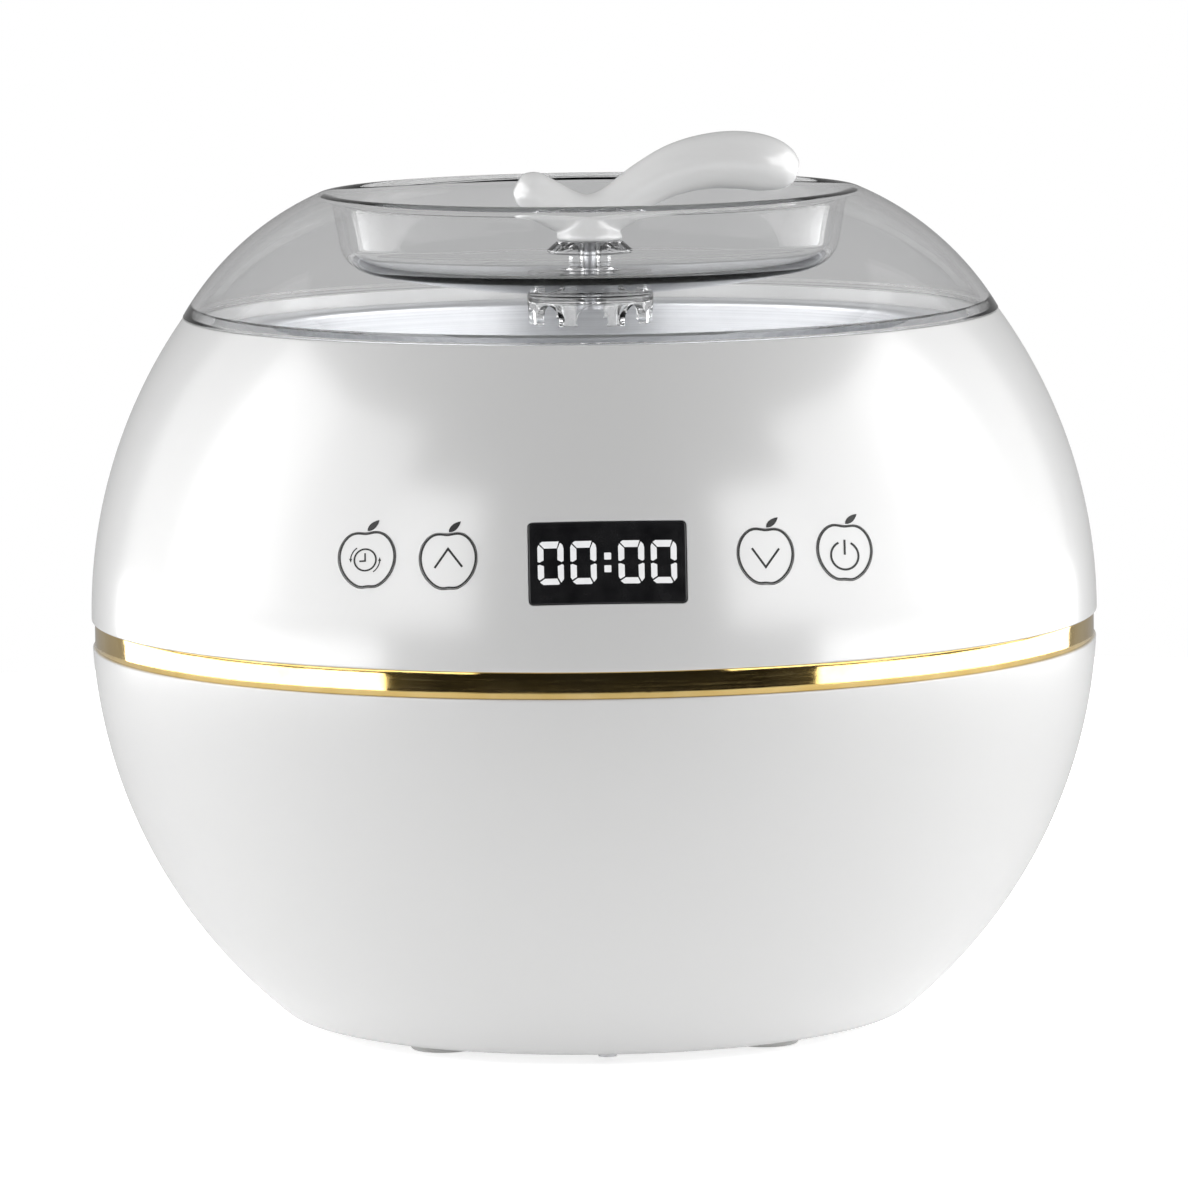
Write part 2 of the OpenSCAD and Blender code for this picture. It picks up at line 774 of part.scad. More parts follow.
module handle() {
    sides = 20;
    p = smooth(handle_spine, 3);
    rings = [for (i = [0 : len(p) - 1])
        let (q0 = p[max(i - 1, 0)], q1 = p[min(i + 1, len(p) - 1)],
            t = unit([q1[0] - q0[0], 0, q1[1] - q0[1]]))
        [for (k = [0 : sides - 1]) let (a = 360 * k / sides)
            [p[i][0] - p[i][2] * sin(a) * t[2], p[i][2] * cos(a), p[i][1] + p[i][2] * sin(a) * t[0]]]];
    color(white) difference() {
        union() {
            skin(rings, sides);
            lathe([[0, stem_base_z], [9.3, stem_base_z], [9.6, stem_base_z + 1.4], [7.6, stem_base_z + 4],
                   [5.6, stem_base_z + 6], [0, stem_base_z + 6]]);
        }
        translate([0, 0, stem_base_z - 1]) cylinder(h = handle_bore_z1 - stem_base_z + 1, r = screw_r,
            $fn = 24);
    }
}

module handle_screw() {
    color(steel) translate([0, 0, dish_z - lid_wall - 0.05 - petal_plate])
        pan_screw(3.8, 2.6, screw_r, 24);
}

module guard_grid() {
    color([0.9, 0.9, 0.88]) difference() {
        union() {
            ring(0, grid_r, grid_z0, grid_z0 + grid_h);
            for (a = [45 : 90 : 315]) {
                rotate([0, 0, a]) translate([88, 0, tank_floor_z + 0.3])
                    cylinder(h = grid_z0 - tank_floor_z, r = 3, $fn = 32);
            }
            lathe([[0, grid_z0 + grid_h - 1], [knob_r, grid_z0 + grid_h - 1], [knob_r, grid_z0 + 11],
                   [knob_top_r, grid_z0 + 12], [knob_top_r, grid_z0 + grid_h + knob_h],
                   [0, grid_z0 + grid_h + knob_h]]);
        }
        for (row = grid_rings) {
            for (i = [0 : row[1] - 1]) {
                rotate([0, 0, 360 * i / row[1]]) translate([row[0], 0, grid_z0 - 1])
                    cylinder(h = grid_h + 2, r = grid_hole_r, $fn = 32);
            }
        }
    }
}

lower_shell();
upper_shell();
trim_ring();
base_plate();
foot_at(-foot_angle);  // foot_front_left
foot_at(foot_angle);  // foot_front_right
foot_at(180 + foot_angle);  // foot_rear_left
foot_at(180 - foot_angle);  // foot_rear_right
base_screws();
wax_tank();
tank_seal();
insulation_jacket();
heater_plate();
heater_element();
heater_studs();
heater_nuts();
temperature_sensor();
thermal_fuse();
main_board();
relay();
transformer();
capacitor();
terminal_block();
main_board_screws();
display_window();
display_module();
display_board();
key_board(-1);  // key_board_left
key_board(1);  // key_board_right
tact_switches();
buzzer();
board_screws();
key(-key_x_outer);  // timer_button
key(-key_x_inner);  // up_button
key(key_x_inner);  // down_button
key(key_x_outer);  // power_button
power_inlet();
inlet_pins();
mains_wires();
heater_wires();
signal_cable();
lid_shell();
handle_collar();
petal_collar();
handle();
handle_screw();
guard_grid();
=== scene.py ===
import json
import math

import bmesh
import bpy
import numpy as np
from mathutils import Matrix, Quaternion, Vector
from mathutils.geometry import delaunay_2d_cdt


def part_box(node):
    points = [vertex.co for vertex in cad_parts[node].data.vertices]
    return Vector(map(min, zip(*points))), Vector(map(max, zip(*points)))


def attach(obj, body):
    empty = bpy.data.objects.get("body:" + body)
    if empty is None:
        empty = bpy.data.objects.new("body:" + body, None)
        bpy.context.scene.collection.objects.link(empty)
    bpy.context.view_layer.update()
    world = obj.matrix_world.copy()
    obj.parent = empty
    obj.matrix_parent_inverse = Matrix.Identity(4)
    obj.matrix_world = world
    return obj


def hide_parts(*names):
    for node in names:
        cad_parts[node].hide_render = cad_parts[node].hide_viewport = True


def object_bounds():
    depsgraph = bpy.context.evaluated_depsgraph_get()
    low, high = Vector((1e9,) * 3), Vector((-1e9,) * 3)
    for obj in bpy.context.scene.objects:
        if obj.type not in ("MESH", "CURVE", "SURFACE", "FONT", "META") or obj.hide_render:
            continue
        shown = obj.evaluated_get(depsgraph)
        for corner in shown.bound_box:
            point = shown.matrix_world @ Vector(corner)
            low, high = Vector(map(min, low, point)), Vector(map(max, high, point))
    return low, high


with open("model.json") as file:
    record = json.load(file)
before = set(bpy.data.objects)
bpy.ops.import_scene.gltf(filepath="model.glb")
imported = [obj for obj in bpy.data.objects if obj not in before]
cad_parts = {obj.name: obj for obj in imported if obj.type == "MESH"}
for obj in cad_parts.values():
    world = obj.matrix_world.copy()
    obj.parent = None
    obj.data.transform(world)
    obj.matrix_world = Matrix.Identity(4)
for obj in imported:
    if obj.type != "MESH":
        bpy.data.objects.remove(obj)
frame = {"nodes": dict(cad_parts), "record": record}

CAD_LOW, CAD_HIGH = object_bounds()
MM = 0.001
COLUMNS = 240
WELD = 0.002

# ---- sizes, as in the CAD source
TRIM_LOW, TRIM_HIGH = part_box("trim_ring")
TRIM_Z0 = TRIM_LOW.z / MM
TRIM_Z1 = TRIM_HIGH.z / MM
TRIM_R = TRIM_HIGH.x / MM
BODY_R = CAD_HIGH.x / MM

EQUATOR_Z = 118.3
ARC_OFFSET = 2.6
ARC_R = BODY_R + ARC_OFFSET
WALL = 2.8
BASE_R = 86
BASE_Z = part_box("lower_shell")[0].z / MM
BASE_ROUND = 9.3
RECESS_R = 83.6
LIP_R = 77
LIP_Z1 = 8
PLATE_Z1 = 5.4
BOSS_RING = 80.3
BOSS_IN = 1.7
BOSS_OUT = 3.2
BOSS_TOP = 20

TONGUE_IN = 139.2
TONGUE_OUT = 141.6
TONGUE_Z0 = 103
COLLAR_IN = 141.9
COLLAR_Z0 = 101
BEAD_Z = 105
BEAD = 0.8

RIM_TOP_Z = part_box("upper_shell")[1].z / MM
RIM_IN = 114.9
LEDGE_Z = 198
LEDGE_H = 2.6
LEDGE_IN = 104
RIM_Z = RIM_TOP_Z + 0.4

LID_WALL = 2.6
CLEAR_SHARP = 40
SHOULDER_R = 85.3
SHOULDER_X = 44
SHOULDER_Z = 161.2
CREST_ROUND = 5
CREST_X = 76
DISH_Z = 213
DISH_ROUND = 8
WALL_SLOPE = math.radians(80)
FLOOR_SLOPE = math.radians(11.5)
SKIRT_OUT = 114.4
SKIRT_IN = 112
SKIRT_Z0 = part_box("lid_shell")[0].z / MM
SCREW_HOLE_R = 2.2
STEM_BASE_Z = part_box("handle")[0].z / MM
PETAL_R = 18.2
PETAL_WALL = 2.8
PETAL_PLATE = 2.2
ARCH_R = 4.4
ARCH_RISE = 1.6

PANEL_Z = 147.7
WINDOW_W = 43
WINDOW_H = 22.4
WINDOW_ROUND = 1.2
WINDOW_T = 2
WINDOW_EDGE = 0.4
WINDOW_GAP = 0.12
WINDOW_LEDGE = 2
KEY_W = 15.8
KEY_PROUD = 0.25
KEY_EDGE = 0.25
KEY_DEPTH = 4.6
KEY_FLANGE = 1.3
KEY_FLANGE_DEPTH = WALL + 0.4
KEY_STEM_R = 2.2
KEY_STEM_END = -21.4
FRUIT_POINTS = 120
KEYS = {"timer": (-65.3, 3.1), "up": (-43.2, 1.6), "down": (43.2, 1.6), "power": (65.3, 3.1)}

TANK_R = 99
TANK_TOP_R = 100.3
TANK_FLOOR_Z = 65.5
TANK_WALL = 1.5
TANK_ROUND = 10.5
FLANGE_R = 113.5
FLANGE_Z0 = 199
FLANGE_Z1 = 200.5

INLET_Z = 46
INLET_Y = 108
POCKET_W = 34
POCKET_H = 27
POCKET_ROUND = 3
POCKET_WALL = 2.2
POCKET_EDGE = 0.6
INLET_W = 27.4
INLET_H = 20.4
INLET_ROUND = 1.0

FOOT_R = 9.5
FOOT_RING = 71
FOOT_ANGLE = 40


# ---- curves and surfaces
def shell_r(z, depth=0.0):
    """Distance of the white shell's surface from the axis, a depth below its outside."""
    return -ARC_OFFSET + math.sqrt((ARC_R - depth) ** 2 - (z - EQUATOR_Z) ** 2)


def shell_normal(p):
    r = math.hypot(p.x, p.y)
    n = Vector((r + ARC_OFFSET, p.z - EQUATOR_Z)).normalized()
    return Vector((p.x / r * n.x, p.y / r * n.x, n.y))


def inward(p):
    return -shell_normal(p)


PANEL_TILT = math.asin((PANEL_Z - EQUATOR_Z) / ARC_R)
PANEL_POINT = Vector((0, -shell_r(PANEL_Z), PANEL_Z))
PANEL_RIGHT = Vector((1, 0, 0))
PANEL_UP = Vector((0, math.sin(PANEL_TILT), math.cos(PANEL_TILT)))
PANEL_OUT = Vector((0, -math.cos(PANEL_TILT), math.sin(PANEL_TILT)))


def behind_panel(x, v, out):
    """The point over (x, v) of the flat key panel, out from it or, below zero, behind it."""
    return PANEL_POINT + x * PANEL_RIGHT + v * PANEL_UP + out * PANEL_OUT


def on_panel(x, v, depth):
    """The point of the shell, a depth below its outside, that lies behind (x, v) of the key panel."""
    out = 0.0
    for _ in range(5):
        p = behind_panel(x, v, out)
        gap = ARC_R - depth - math.hypot(math.hypot(p.x, p.y) + ARC_OFFSET, p.z - EQUATOR_Z)
        out += gap / shell_normal(p).dot(PANEL_OUT)
    return behind_panel(x, v, out)


def panel_loop(outline, depth):
    return [on_panel(x, v, depth) for x, v in outline]


def on_rear(outline, depth):
    """An outline about the inlet's middle, put on the shell's rear a depth below its outside."""
    raised = [(x, z + INLET_Z) for x, z in outline]
    return [Vector((x, math.sqrt(shell_r(z, depth) ** 2 - x * x), z)) for x, z in raised]


def full_turn(n):
    return [2 * math.pi * k / n for k in range(n)]


def arc(cx, cz, r, a0, a1, n):
    steps = [a0 + (a1 - a0) * i / n for i in range(n + 1)]
    return [(cx + r * math.cos(a), cz + r * math.sin(a)) for a in steps]


def turn_points(cx, cy, r, a0, a1, n):
    """An arc between two angles in degrees."""
    return arc(cx, cy, r, math.radians(a0), math.radians(a1), n)


def shell_rows(z0, z1, depth, n):
    """Heights between z0 and z1, evenly spaced along the shell's arc."""
    r = ARC_R - depth
    a0, a1 = (math.asin((z - EQUATOR_Z) / r) for z in (z0, z1))
    return [z for _, z in arc(0, EQUATOR_Z, r, a0, a1, n)]


def rounded(corners, steps=4):
    """A profile through corners (x, z, radius), with each corner rounded by its radius."""
    path = []
    last = len(corners) - 1
    for i, (x, z, radius) in enumerate(corners):
        here = Vector((x, z))
        if radius == 0 or i in (0, last):
            path.append(tuple(here))
            continue
        back = (Vector(corners[i - 1][:2]) - here).normalized()
        ahead = (Vector(corners[i + 1][:2]) - here).normalized()
        half = back.angle(ahead) / 2
        centre = here + (back + ahead).normalized() * radius / math.sin(half)
        start = here + back * radius / math.tan(half) - centre
        end = here + ahead * radius / math.tan(half) - centre
        turn = start.angle_signed(end)
        for k in range(steps + 1):
            a = -turn * k / steps
            path.append((centre.x + start.x * math.cos(a) - start.y * math.sin(a),
                         centre.y + start.x * math.sin(a) + start.y * math.cos(a)))
    return path


def rounded_bar(w, h, r, steps=6):
    """Outline of a rectangle with rounded corners, anticlockwise, with points along its sides too."""
    outline = []
    for sx, sy, a0 in ((1, 1, 0), (-1, 1, 90), (-1, -1, 180), (1, -1, 270)):
        cx = sx * (w / 2 - r)
        cy = sy * (h / 2 - r)
        corner = turn_points(cx, cy, r, a0, a0 + 90, steps)
        if outline:
            outline += between(outline[-1], corner[0], 14)
        outline += corner
    return outline + between(outline[-1], outline[0], 14)


def between(a, b, n):
    return [(a[0] + (b[0] - a[0]) * i / n, a[1] + (b[1] - a[1]) * i / n) for i in range(1, n)]


def fruit(grow, middle=(0, 0)):
    """A plain fruit outline with a dip at the top and a notch at the bottom, anticlockwise."""
    outline = []
    for i in range(FRUIT_POINTS):
        a = -360 * i / FRUIT_POINTS
        t = min(abs(a), 360 - abs(a))
        dip = 1 - 0.17 * math.exp(-(t / 24) ** 2) - 0.06 * math.exp(-((180 - t) / 14) ** 2)
        taper = 1 - 0.1 * ((1 - math.cos(math.radians(t))) / 2) ** 2
        x = (KEY_W / 2 * dip * taper + grow) * math.sin(math.radians(a))
        v = (8.4 * dip + grow) * math.cos(math.radians(a)) + 0.4
        outline.append((middle[0] + x, middle[1] + v))
    return outline


def inside(points, loop):
    """For each point, whether it lies inside the closed loop."""
    found = np.zeros(len(points), bool)
    px, py = points[:, 0], points[:, 1]
    x1, y1 = loop[-1]
    for x0, y0 in loop:
        if y0 != y1:
            found ^= ((y0 > py) != (y1 > py)) & (px < (x1 - x0) * (py - y0) / (y1 - y0) + x0)
        x1, y1 = x0, y0
    return found


def within(points, loops):
    """For each point, whether it lies inside the first loop and outside the others."""
    keep = inside(points, loops[0])
    for hole in loops[1:]:
        keep &= ~inside(points, hole)
    return keep


def fill(loops, grid):
    """Points and triangles that fill the first loop less the others, using the grid points inside it."""
    if len(grid):
        grid = np.array(grid, float)
        keep = within(grid, loops)
        edge = np.array([p for loop in loops for p in loop])
        spacing = 0.45 * np.median(np.linalg.norm(np.diff(edge, axis=0), axis=1))
        for p in edge:
            keep &= np.hypot(grid[:, 0] - p[0], grid[:, 1] - p[1]) > spacing
        grid = grid[keep]
    points = [Vector(p) for loop in loops for p in loop] + [Vector(p) for p in grid]
    edges = []
    start = 0
    for loop in loops:
        edges += [(start + i, start + (i + 1) % len(loop)) for i in range(len(loop))]
        start += len(loop)
    corners, _, triangles, _, _, _ = delaunay_2d_cdt(points, edges, [], 0, 1e-5)
    centres = np.array([sum((corners[k] for k in t), Vector((0, 0))) / 3 for t in triangles])
    return corners, [t for t, k in zip(triangles, within(centres, loops)) if k]


def lattice(loop, step):
    """Grid points over a loop's box, a step apart."""
    sides = []
    for values in zip(*loop):
        low, high = min(values), max(values)
        n = max(1, round((high - low) / step))
        sides.append([low + (high - low) * i / n for i in range(1, n)])
    return [(x, y) for x in sides[0] for y in sides[1]]


# ---- mesh making
class Form:
    """A closed mesh in the making. A face may have a rule, which gives its true normal at a point."""

    def __init__(self):
        self.points = []
        self.faces = []
        self.marks = []
        self.rules = [None]

    def add(self, points):
        start = len(self.points)
        self.points += [Vector(p) for p in points]
        return list(range(start, len(self.points)))

    def face(self, corners, rule=None):
        if rule not in self.rules:
            self.rules.append(rule)
        self.faces.append(corners)
        self.marks.append(self.rules.index(rule))

    def strip(self, a, b, closed=True):
        n = len(a)
        for i in range(n if closed else n - 1):
            j = (i + 1) % n
            self.face((a[i], a[j], b[j], b[i]))

    def skin(self, rings):
        """Joins each ring of points to the next."""
        for a, b in zip(rings, rings[1:]):
            self.strip(a, b)

    def patch(self, loops, place, rule, step=None, grid=()):
        """Fills loops in the plane and puts every point in place on a surface."""
        if step:
            grid = lattice(loops[0], step)
        corners, triangles = fill(loops, grid)
        ids = self.add([place(p.x, p.y) for p in corners])
        for t in triangles:
            self.face([ids[k] for k in t], rule)

    def lathe(self, profile, columns=COLUMNS, closed=False, about=(0, 0)):
        """Turns a profile of (radius, height) about a vertical line. A closed profile is a solid ring."""
        rings = []
        for r, z in profile:
            if r < 1e-6:
                rings.append(self.add([(about[0], about[1], z)]) * columns)
                continue
            rings.append(self.add([(about[0] + r * math.sin(t), about[1] - r * math.cos(t), z)
                                   for t in full_turn(columns)]))
        if closed:
            rings.append(rings[0])
        for a, b in zip(rings, rings[1:]):
            for k in range(columns):
                j = (k + 1) % columns
                corners = list(dict.fromkeys((a[k], a[j], b[j], b[k])))
                if len(corners) > 2:
                    self.face(corners)

    def stack(self, outline, levels, place, rule, step):
        """A closed plate: outline(grow) at each (grow, depth) level, capped at both ends."""
        rings = [self.add([place(x, v, depth) for x, v in outline(grow)]) for grow, depth in levels]
        self.skin(rings)
        for (grow, depth), cap_rule in ((levels[0], None), (levels[-1], rule)):
            self.patch([outline(grow)], lambda x, v, d=depth: place(x, v, d), cap_rule, step)

    def tube(self, centre, axis, side, r, z0, z1, columns=32):
        """A plain closed rod along an axis, from z0 to z1 past its centre."""
        up = axis.cross(side)
        ends = [self.add([centre + z * axis + r * (math.cos(t) * side + math.sin(t) * up)
                          for t in full_turn(columns)]) for z in (z0, z1)]
        self.skin(ends)
        self.face(ends[0][::-1])
        self.face(ends[1])

    def mesh(self, name, sharp=32):
        bm = bmesh.new()
        layer = bm.faces.layers.int.new("rule")
        verts = [bm.verts.new(p) for p in self.points]
        for ids, number in zip(self.faces, self.marks):
            corners = [verts[k] for k in ids]
            made = bm.faces.get(corners) or bm.faces.new(corners)
            made[layer] = number
        bmesh.ops.remove_doubles(bm, verts=bm.verts, dist=WELD)
        loose = [v for v in bm.verts if not v.link_faces]
        bmesh.ops.delete(bm, geom=loose, context="VERTS")
        bmesh.ops.recalc_face_normals(bm, faces=bm.faces)
        for e in bm.edges:
            e.smooth = len(e.link_faces) == 2 and e.calc_face_angle(0) < math.radians(sharp)
        for f in bm.faces:
            f.smooth = True
        mesh = bpy.data.meshes.new(name)
        bm.to_mesh(mesh)
        bm.free()
        self.true_normals(mesh)
        mesh.attributes.remove(mesh.attributes["rule"])
        for v in mesh.vertices:
            v.co *= MM
        return mesh

    def true_normals(self, mesh):
        if len(self.rules) == 1:
            return
        numbers = [a.value for a in mesh.attributes["rule"].data]
        normals = [Vector((0, 0, 0))] * len(mesh.loops)
        for polygon in mesh.polygons:
            rule = self.rules[numbers[polygon.index]]
            if rule is None:
                continue
            for k in polygon.loop_indices:
                normals[k] = rule(mesh.vertices[mesh.loops[k].vertex_index].co)
        mesh.normals_split_custom_set(normals)

    def piece(self, name, material, body, replaces=(), sharp=32):
        settle(placed(name, self.mesh(name, sharp)), material, body, replaces)


def placed(name, data):
    """Puts new data into the scene as an object."""
    obj = bpy.data.objects.new(name, data)
    bpy.context.scene.collection.objects.link(obj)
    return obj


def settle(obj, material, body, replaces=()):
    """Gives a piece its material and body, and hides the CAD nodes that it stands for."""
    obj.data.materials.clear()
    obj.data.materials.append(material)
    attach(obj, body)
    if replaces:
        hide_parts(*replaces)


def apply_modifiers(obj):
    """Turns the object's modifiers into its mesh."""
    bpy.context.view_layer.update()
    evaluated = obj.evaluated_get(bpy.context.evaluated_depsgraph_get())
    mesh = bpy.data.meshes.new_from_object(evaluated)
    obj.modifiers.clear()
    old = obj.data
    obj.data = mesh
    bpy.data.meshes.remove(old)


# ---- materials
class Paint:
    """A node material in the making: one Principled shader and the patterns that drive it."""

    def __init__(self, name, **sockets):
        self.material = bpy.data.materials.new(name)
        self.material.use_nodes = True
        self.tree = self.material.node_tree
        self.shader = self.tree.nodes["Principled BSDF"]
        self.place = self.tree.nodes.new("ShaderNodeTexCoord").outputs["Object"]
        for key, value in sockets.items():
            self.shader.inputs[key.replace("_", " ")].default_value = value

    def node(self, kind, **settings):
        made = self.tree.nodes.new(kind)
        for key, value in settings.items():
            setattr(made, key, value)
        return made

    def link(self, source, target):
        self.tree.links.new(source, target)

    def stretched(self, scale):
        """The place, stretched along its axes, for grain that runs one way."""
        made = self.node("ShaderNodeVectorMath", operation="MULTIPLY")
        self.link(self.place, made.inputs[0])
        made.inputs[1].default_value = scale
        return made.outputs[0]

    def noise(self, scale, detail=3.0, rough=0.55, place=None):
        made = self.node("ShaderNodeTexNoise")
        self.link(place or self.place, made.inputs["Vector"])
        made.inputs["Scale"].default_value = scale
        made.inputs["Detail"].default_value = detail
        made.inputs["Roughness"].default_value = rough
        return made.outputs["Fac"]

    def cells(self, scale, feature="F1"):
        made = self.node("ShaderNodeTexVoronoi", feature=feature)
        self.link(self.place, made.inputs["Vector"])
        made.inputs["Scale"].default_value = scale
        return made.outputs["Distance"]

    def math(self, operation, a, b=0.0):
        made = self.node("ShaderNodeMath", operation=operation)
        for socket, value in zip(made.inputs, (a, b)):
            if isinstance(value, (int, float)):
                socket.default_value = value
            else:
                self.link(value, socket)
        return made.outputs[0]

    def spread(self, source, low, high, start=0.35, end=0.65):
        """Maps a pattern to the numbers from low to high."""
        made = self.node("ShaderNodeMapRange")
        self.link(source, made.inputs["Value"])
        made.inputs["From Min"].default_value = start
        made.inputs["From Max"].default_value = end
        made.inputs["To Min"].default_value = low
        made.inputs["To Max"].default_value = high
        return made.outputs["Result"]

    def colours(self, source, first, second, start=0.35, end=0.65):
        """Maps a pattern to colours from first to second, onto the base colour."""
        made = self.node("ShaderNodeValToRGB")
        self.link(source, made.inputs["Fac"])
        for element, place, colour in zip(made.color_ramp.elements, (start, end), (first, second)):
            element.position = place
            element.color = (*colour, 1)
        self.link(made.outputs["Color"], self.shader.inputs["Base Color"])

    def roughness(self, source, low, high, start=0.35, end=0.65):
        self.link(self.spread(source, low, high, start, end), self.shader.inputs["Roughness"])

    def bump(self, height, strength, distance_mm):
        made = self.node("ShaderNodeBump")
        made.inputs["Strength"].default_value = strength
        made.inputs["Distance"].default_value = distance_mm * MM
        self.link(height, made.inputs["Height"])
        self.link(made.outputs["Normal"], self.shader.inputs["Normal"])


def moulded(name, dark, light, rough, grain=900, depth_mm=0.01):
    """Moulded plastic or rubber: a slight drift of colour and gloss and a fine skin texture."""
    paint = Paint(name)
    paint.colours(paint.noise(18), dark, light)
    paint.roughness(paint.noise(60, 4), *rough)
    paint.bump(paint.noise(grain, 2), 0.5, depth_mm)
    return paint.material


def white_gloss(name, shade):
    """Polished white plastic under a clear skin, with the faint waviness of a large moulding."""
    paint = Paint(name, Coat_Weight=1.0, Coat_Roughness=0.2, Coat_IOR=1.85, IOR=1.5)
    light = (shade * 1.005, shade * 1.005, shade * 1.004)
    dark = (shade * 0.995, shade * 0.995, shade * 0.992)
    paint.colours(paint.noise(9, 1), dark, light, 0.0, 1.0)
    paint.roughness(paint.noise(45, 2), 0.28, 0.34, 0.0, 1.0)
    wave = paint.noise(16, 1)
    skin = paint.noise(1500, 2)
    height = paint.math("ADD", paint.math("MULTIPLY", skin, 0.03), wave)
    paint.bump(height, 0.2, 0.03)
    return paint.material


def gold(name):
    """Mirror-polished gold plate with hairlines that run round the ring."""
    paint = Paint(name, Metallic=1.0)
    hair = paint.noise(40, 5, 0.7, paint.stretched((1, 1, 60)))
    blotch = paint.noise(70, 3)
    paint.colours(blotch, (0.78, 0.55, 0.19), (0.86, 0.64, 0.27))
    paint.roughness(hair, 0.03, 0.09)
    paint.bump(paint.math("ADD", hair, paint.math("MULTIPLY", blotch, 2.0)), 0.25, 0.02)
    return paint.material


def clear_plastic(name, tint, ior):
    """Clear polished plastic with a faint smoke tint, which lets lamp light through to what it covers."""
    paint = Paint(name, Transmission_Weight=1.0, IOR=ior, Roughness=0.0)
    paint.shader.inputs["Base Color"].default_value = (*tint, 1)
    wave = paint.noise(14, 1)
    scuff = paint.noise(260, 4, 0.6, paint.stretched((1, 4, 1)))
    paint.bump(paint.math("ADD", wave, paint.math("MULTIPLY", scuff, 0.02)), 0.3, 0.05)
    path = paint.node("ShaderNodeLightPath")
    through = paint.node("ShaderNodeBsdfTransparent")
    through.inputs["Color"].default_value = (*tint, 1)
    mix = paint.node("ShaderNodeMixShader")
    paint.link(path.outputs["Is Shadow Ray"], mix.inputs[0])
    paint.link(paint.shader.outputs[0], mix.inputs[1])
    paint.link(through.outputs[0], mix.inputs[2])
    paint.link(mix.outputs[0], paint.tree.nodes["Material Output"].inputs["Surface"])
    return paint.material


def black_lens(name):
    """Dark polished lens with a trace of dust and hairline marks."""
    paint = Paint(name, IOR=1.49)
    paint.colours(paint.noise(160, 5), (0.006, 0.006, 0.007), (0.014, 0.014, 0.015))
    paint.roughness(paint.noise(240, 6, 0.7), 0.12, 0.25)
    paint.bump(paint.noise(500, 3), 0.15, 0.01)
    return paint.material


def ink(name, shade):
    """Screen-printed ink, slightly uneven."""
    paint = Paint(name)
    paint.colours(paint.noise(700, 3), (shade * 0.7,) * 3, (shade * 1.3,) * 3)
    paint.roughness(paint.noise(900, 3), 0.35, 0.55)
    paint.bump(paint.noise(4000, 2), 0.3, 0.01)
    return paint.material


def lit_digit(name):
    """A lit display segment: pale, and slightly uneven from its lamp behind."""
    paint = Paint(name, Emission_Strength=0.36, Roughness=0.5)
    paint.colours(paint.noise(420, 2), (0.55, 0.55, 0.55), (0.6, 0.6, 0.6))
    paint.shader.inputs["Emission Color"].default_value = (0.97, 0.98, 1.0, 1)
    paint.bump(paint.noise(3000, 2), 0.2, 0.01)
    return paint.material


def turned_metal(name, dark, light, rough):
    """Spun sheet metal: fine circles about the vertical axis."""
    paint = Paint(name, Metallic=1.0)
    split = paint.node("ShaderNodeSeparateXYZ")
    paint.link(paint.place, split.inputs[0])
    square = paint.math("ADD", paint.math("MULTIPLY", split.outputs[0], split.outputs[0]),
                        paint.math("MULTIPLY", split.outputs[1], split.outputs[1]))
    radius = paint.math("SQRT", square)
    join = paint.node("ShaderNodeCombineXYZ")
    paint.link(radius, join.inputs[0])
    paint.link(split.outputs[2], join.inputs[1])
    circles = paint.noise(1600, 4, 0.7, join.outputs[0])
    blotch = paint.noise(25, 3)
    paint.colours(circles, dark, light, 0.3, 0.7)
    mixed = paint.math("ADD", paint.math("MULTIPLY", circles, 0.6), paint.math("MULTIPLY", blotch, 0.4))
    paint.roughness(mixed, *rough)
    paint.bump(circles, 0.25, 0.03)
    return paint.material


def plain_metal(name, dark, light, rough, grain=900):
    """Plated or turned metal with a fine drawn grain."""
    paint = Paint(name, Metallic=1.0)
    grain_noise = paint.noise(grain, 4, 0.65, paint.stretched((1, 1, 6)))
    paint.colours(paint.noise(120, 4), dark, light)
    paint.roughness(grain_noise, *rough)
    paint.bump(grain_noise, 0.3, 0.02)
    return paint.material


def needled_felt(name):
    paint = Paint(name, Roughness=0.95, Sheen_Weight=0.3)
    fibres = paint.noise(700, 8, 0.75, paint.stretched((1, 1, 0.35)))
    paint.colours(fibres, (0.55, 0.5, 0.38), (0.86, 0.82, 0.7))
    paint.bump(paint.math("ADD", fibres, paint.cells(420)), 0.9, 0.5)
    return paint.material


def circuit_board(name):
    """Coated circuit board: copper tracks show through as paler stepped lines."""
    paint = Paint(name, Coat_Weight=0.4, Coat_Roughness=0.15)
    tracks = paint.cells(260, feature="DISTANCE_TO_EDGE")
    line = paint.spread(tracks, 1.0, 0.0, 0.05, 0.09)
    mixed = paint.math("ADD", line, paint.math("MULTIPLY", paint.noise(90), 0.15))
    paint.colours(mixed, (0.02, 0.13, 0.05), (0.07, 0.3, 0.13), 0.05, 0.9)
    paint.roughness(paint.noise(300), 0.3, 0.45)
    paint.bump(line, 0.4, 0.03)
    return paint.material


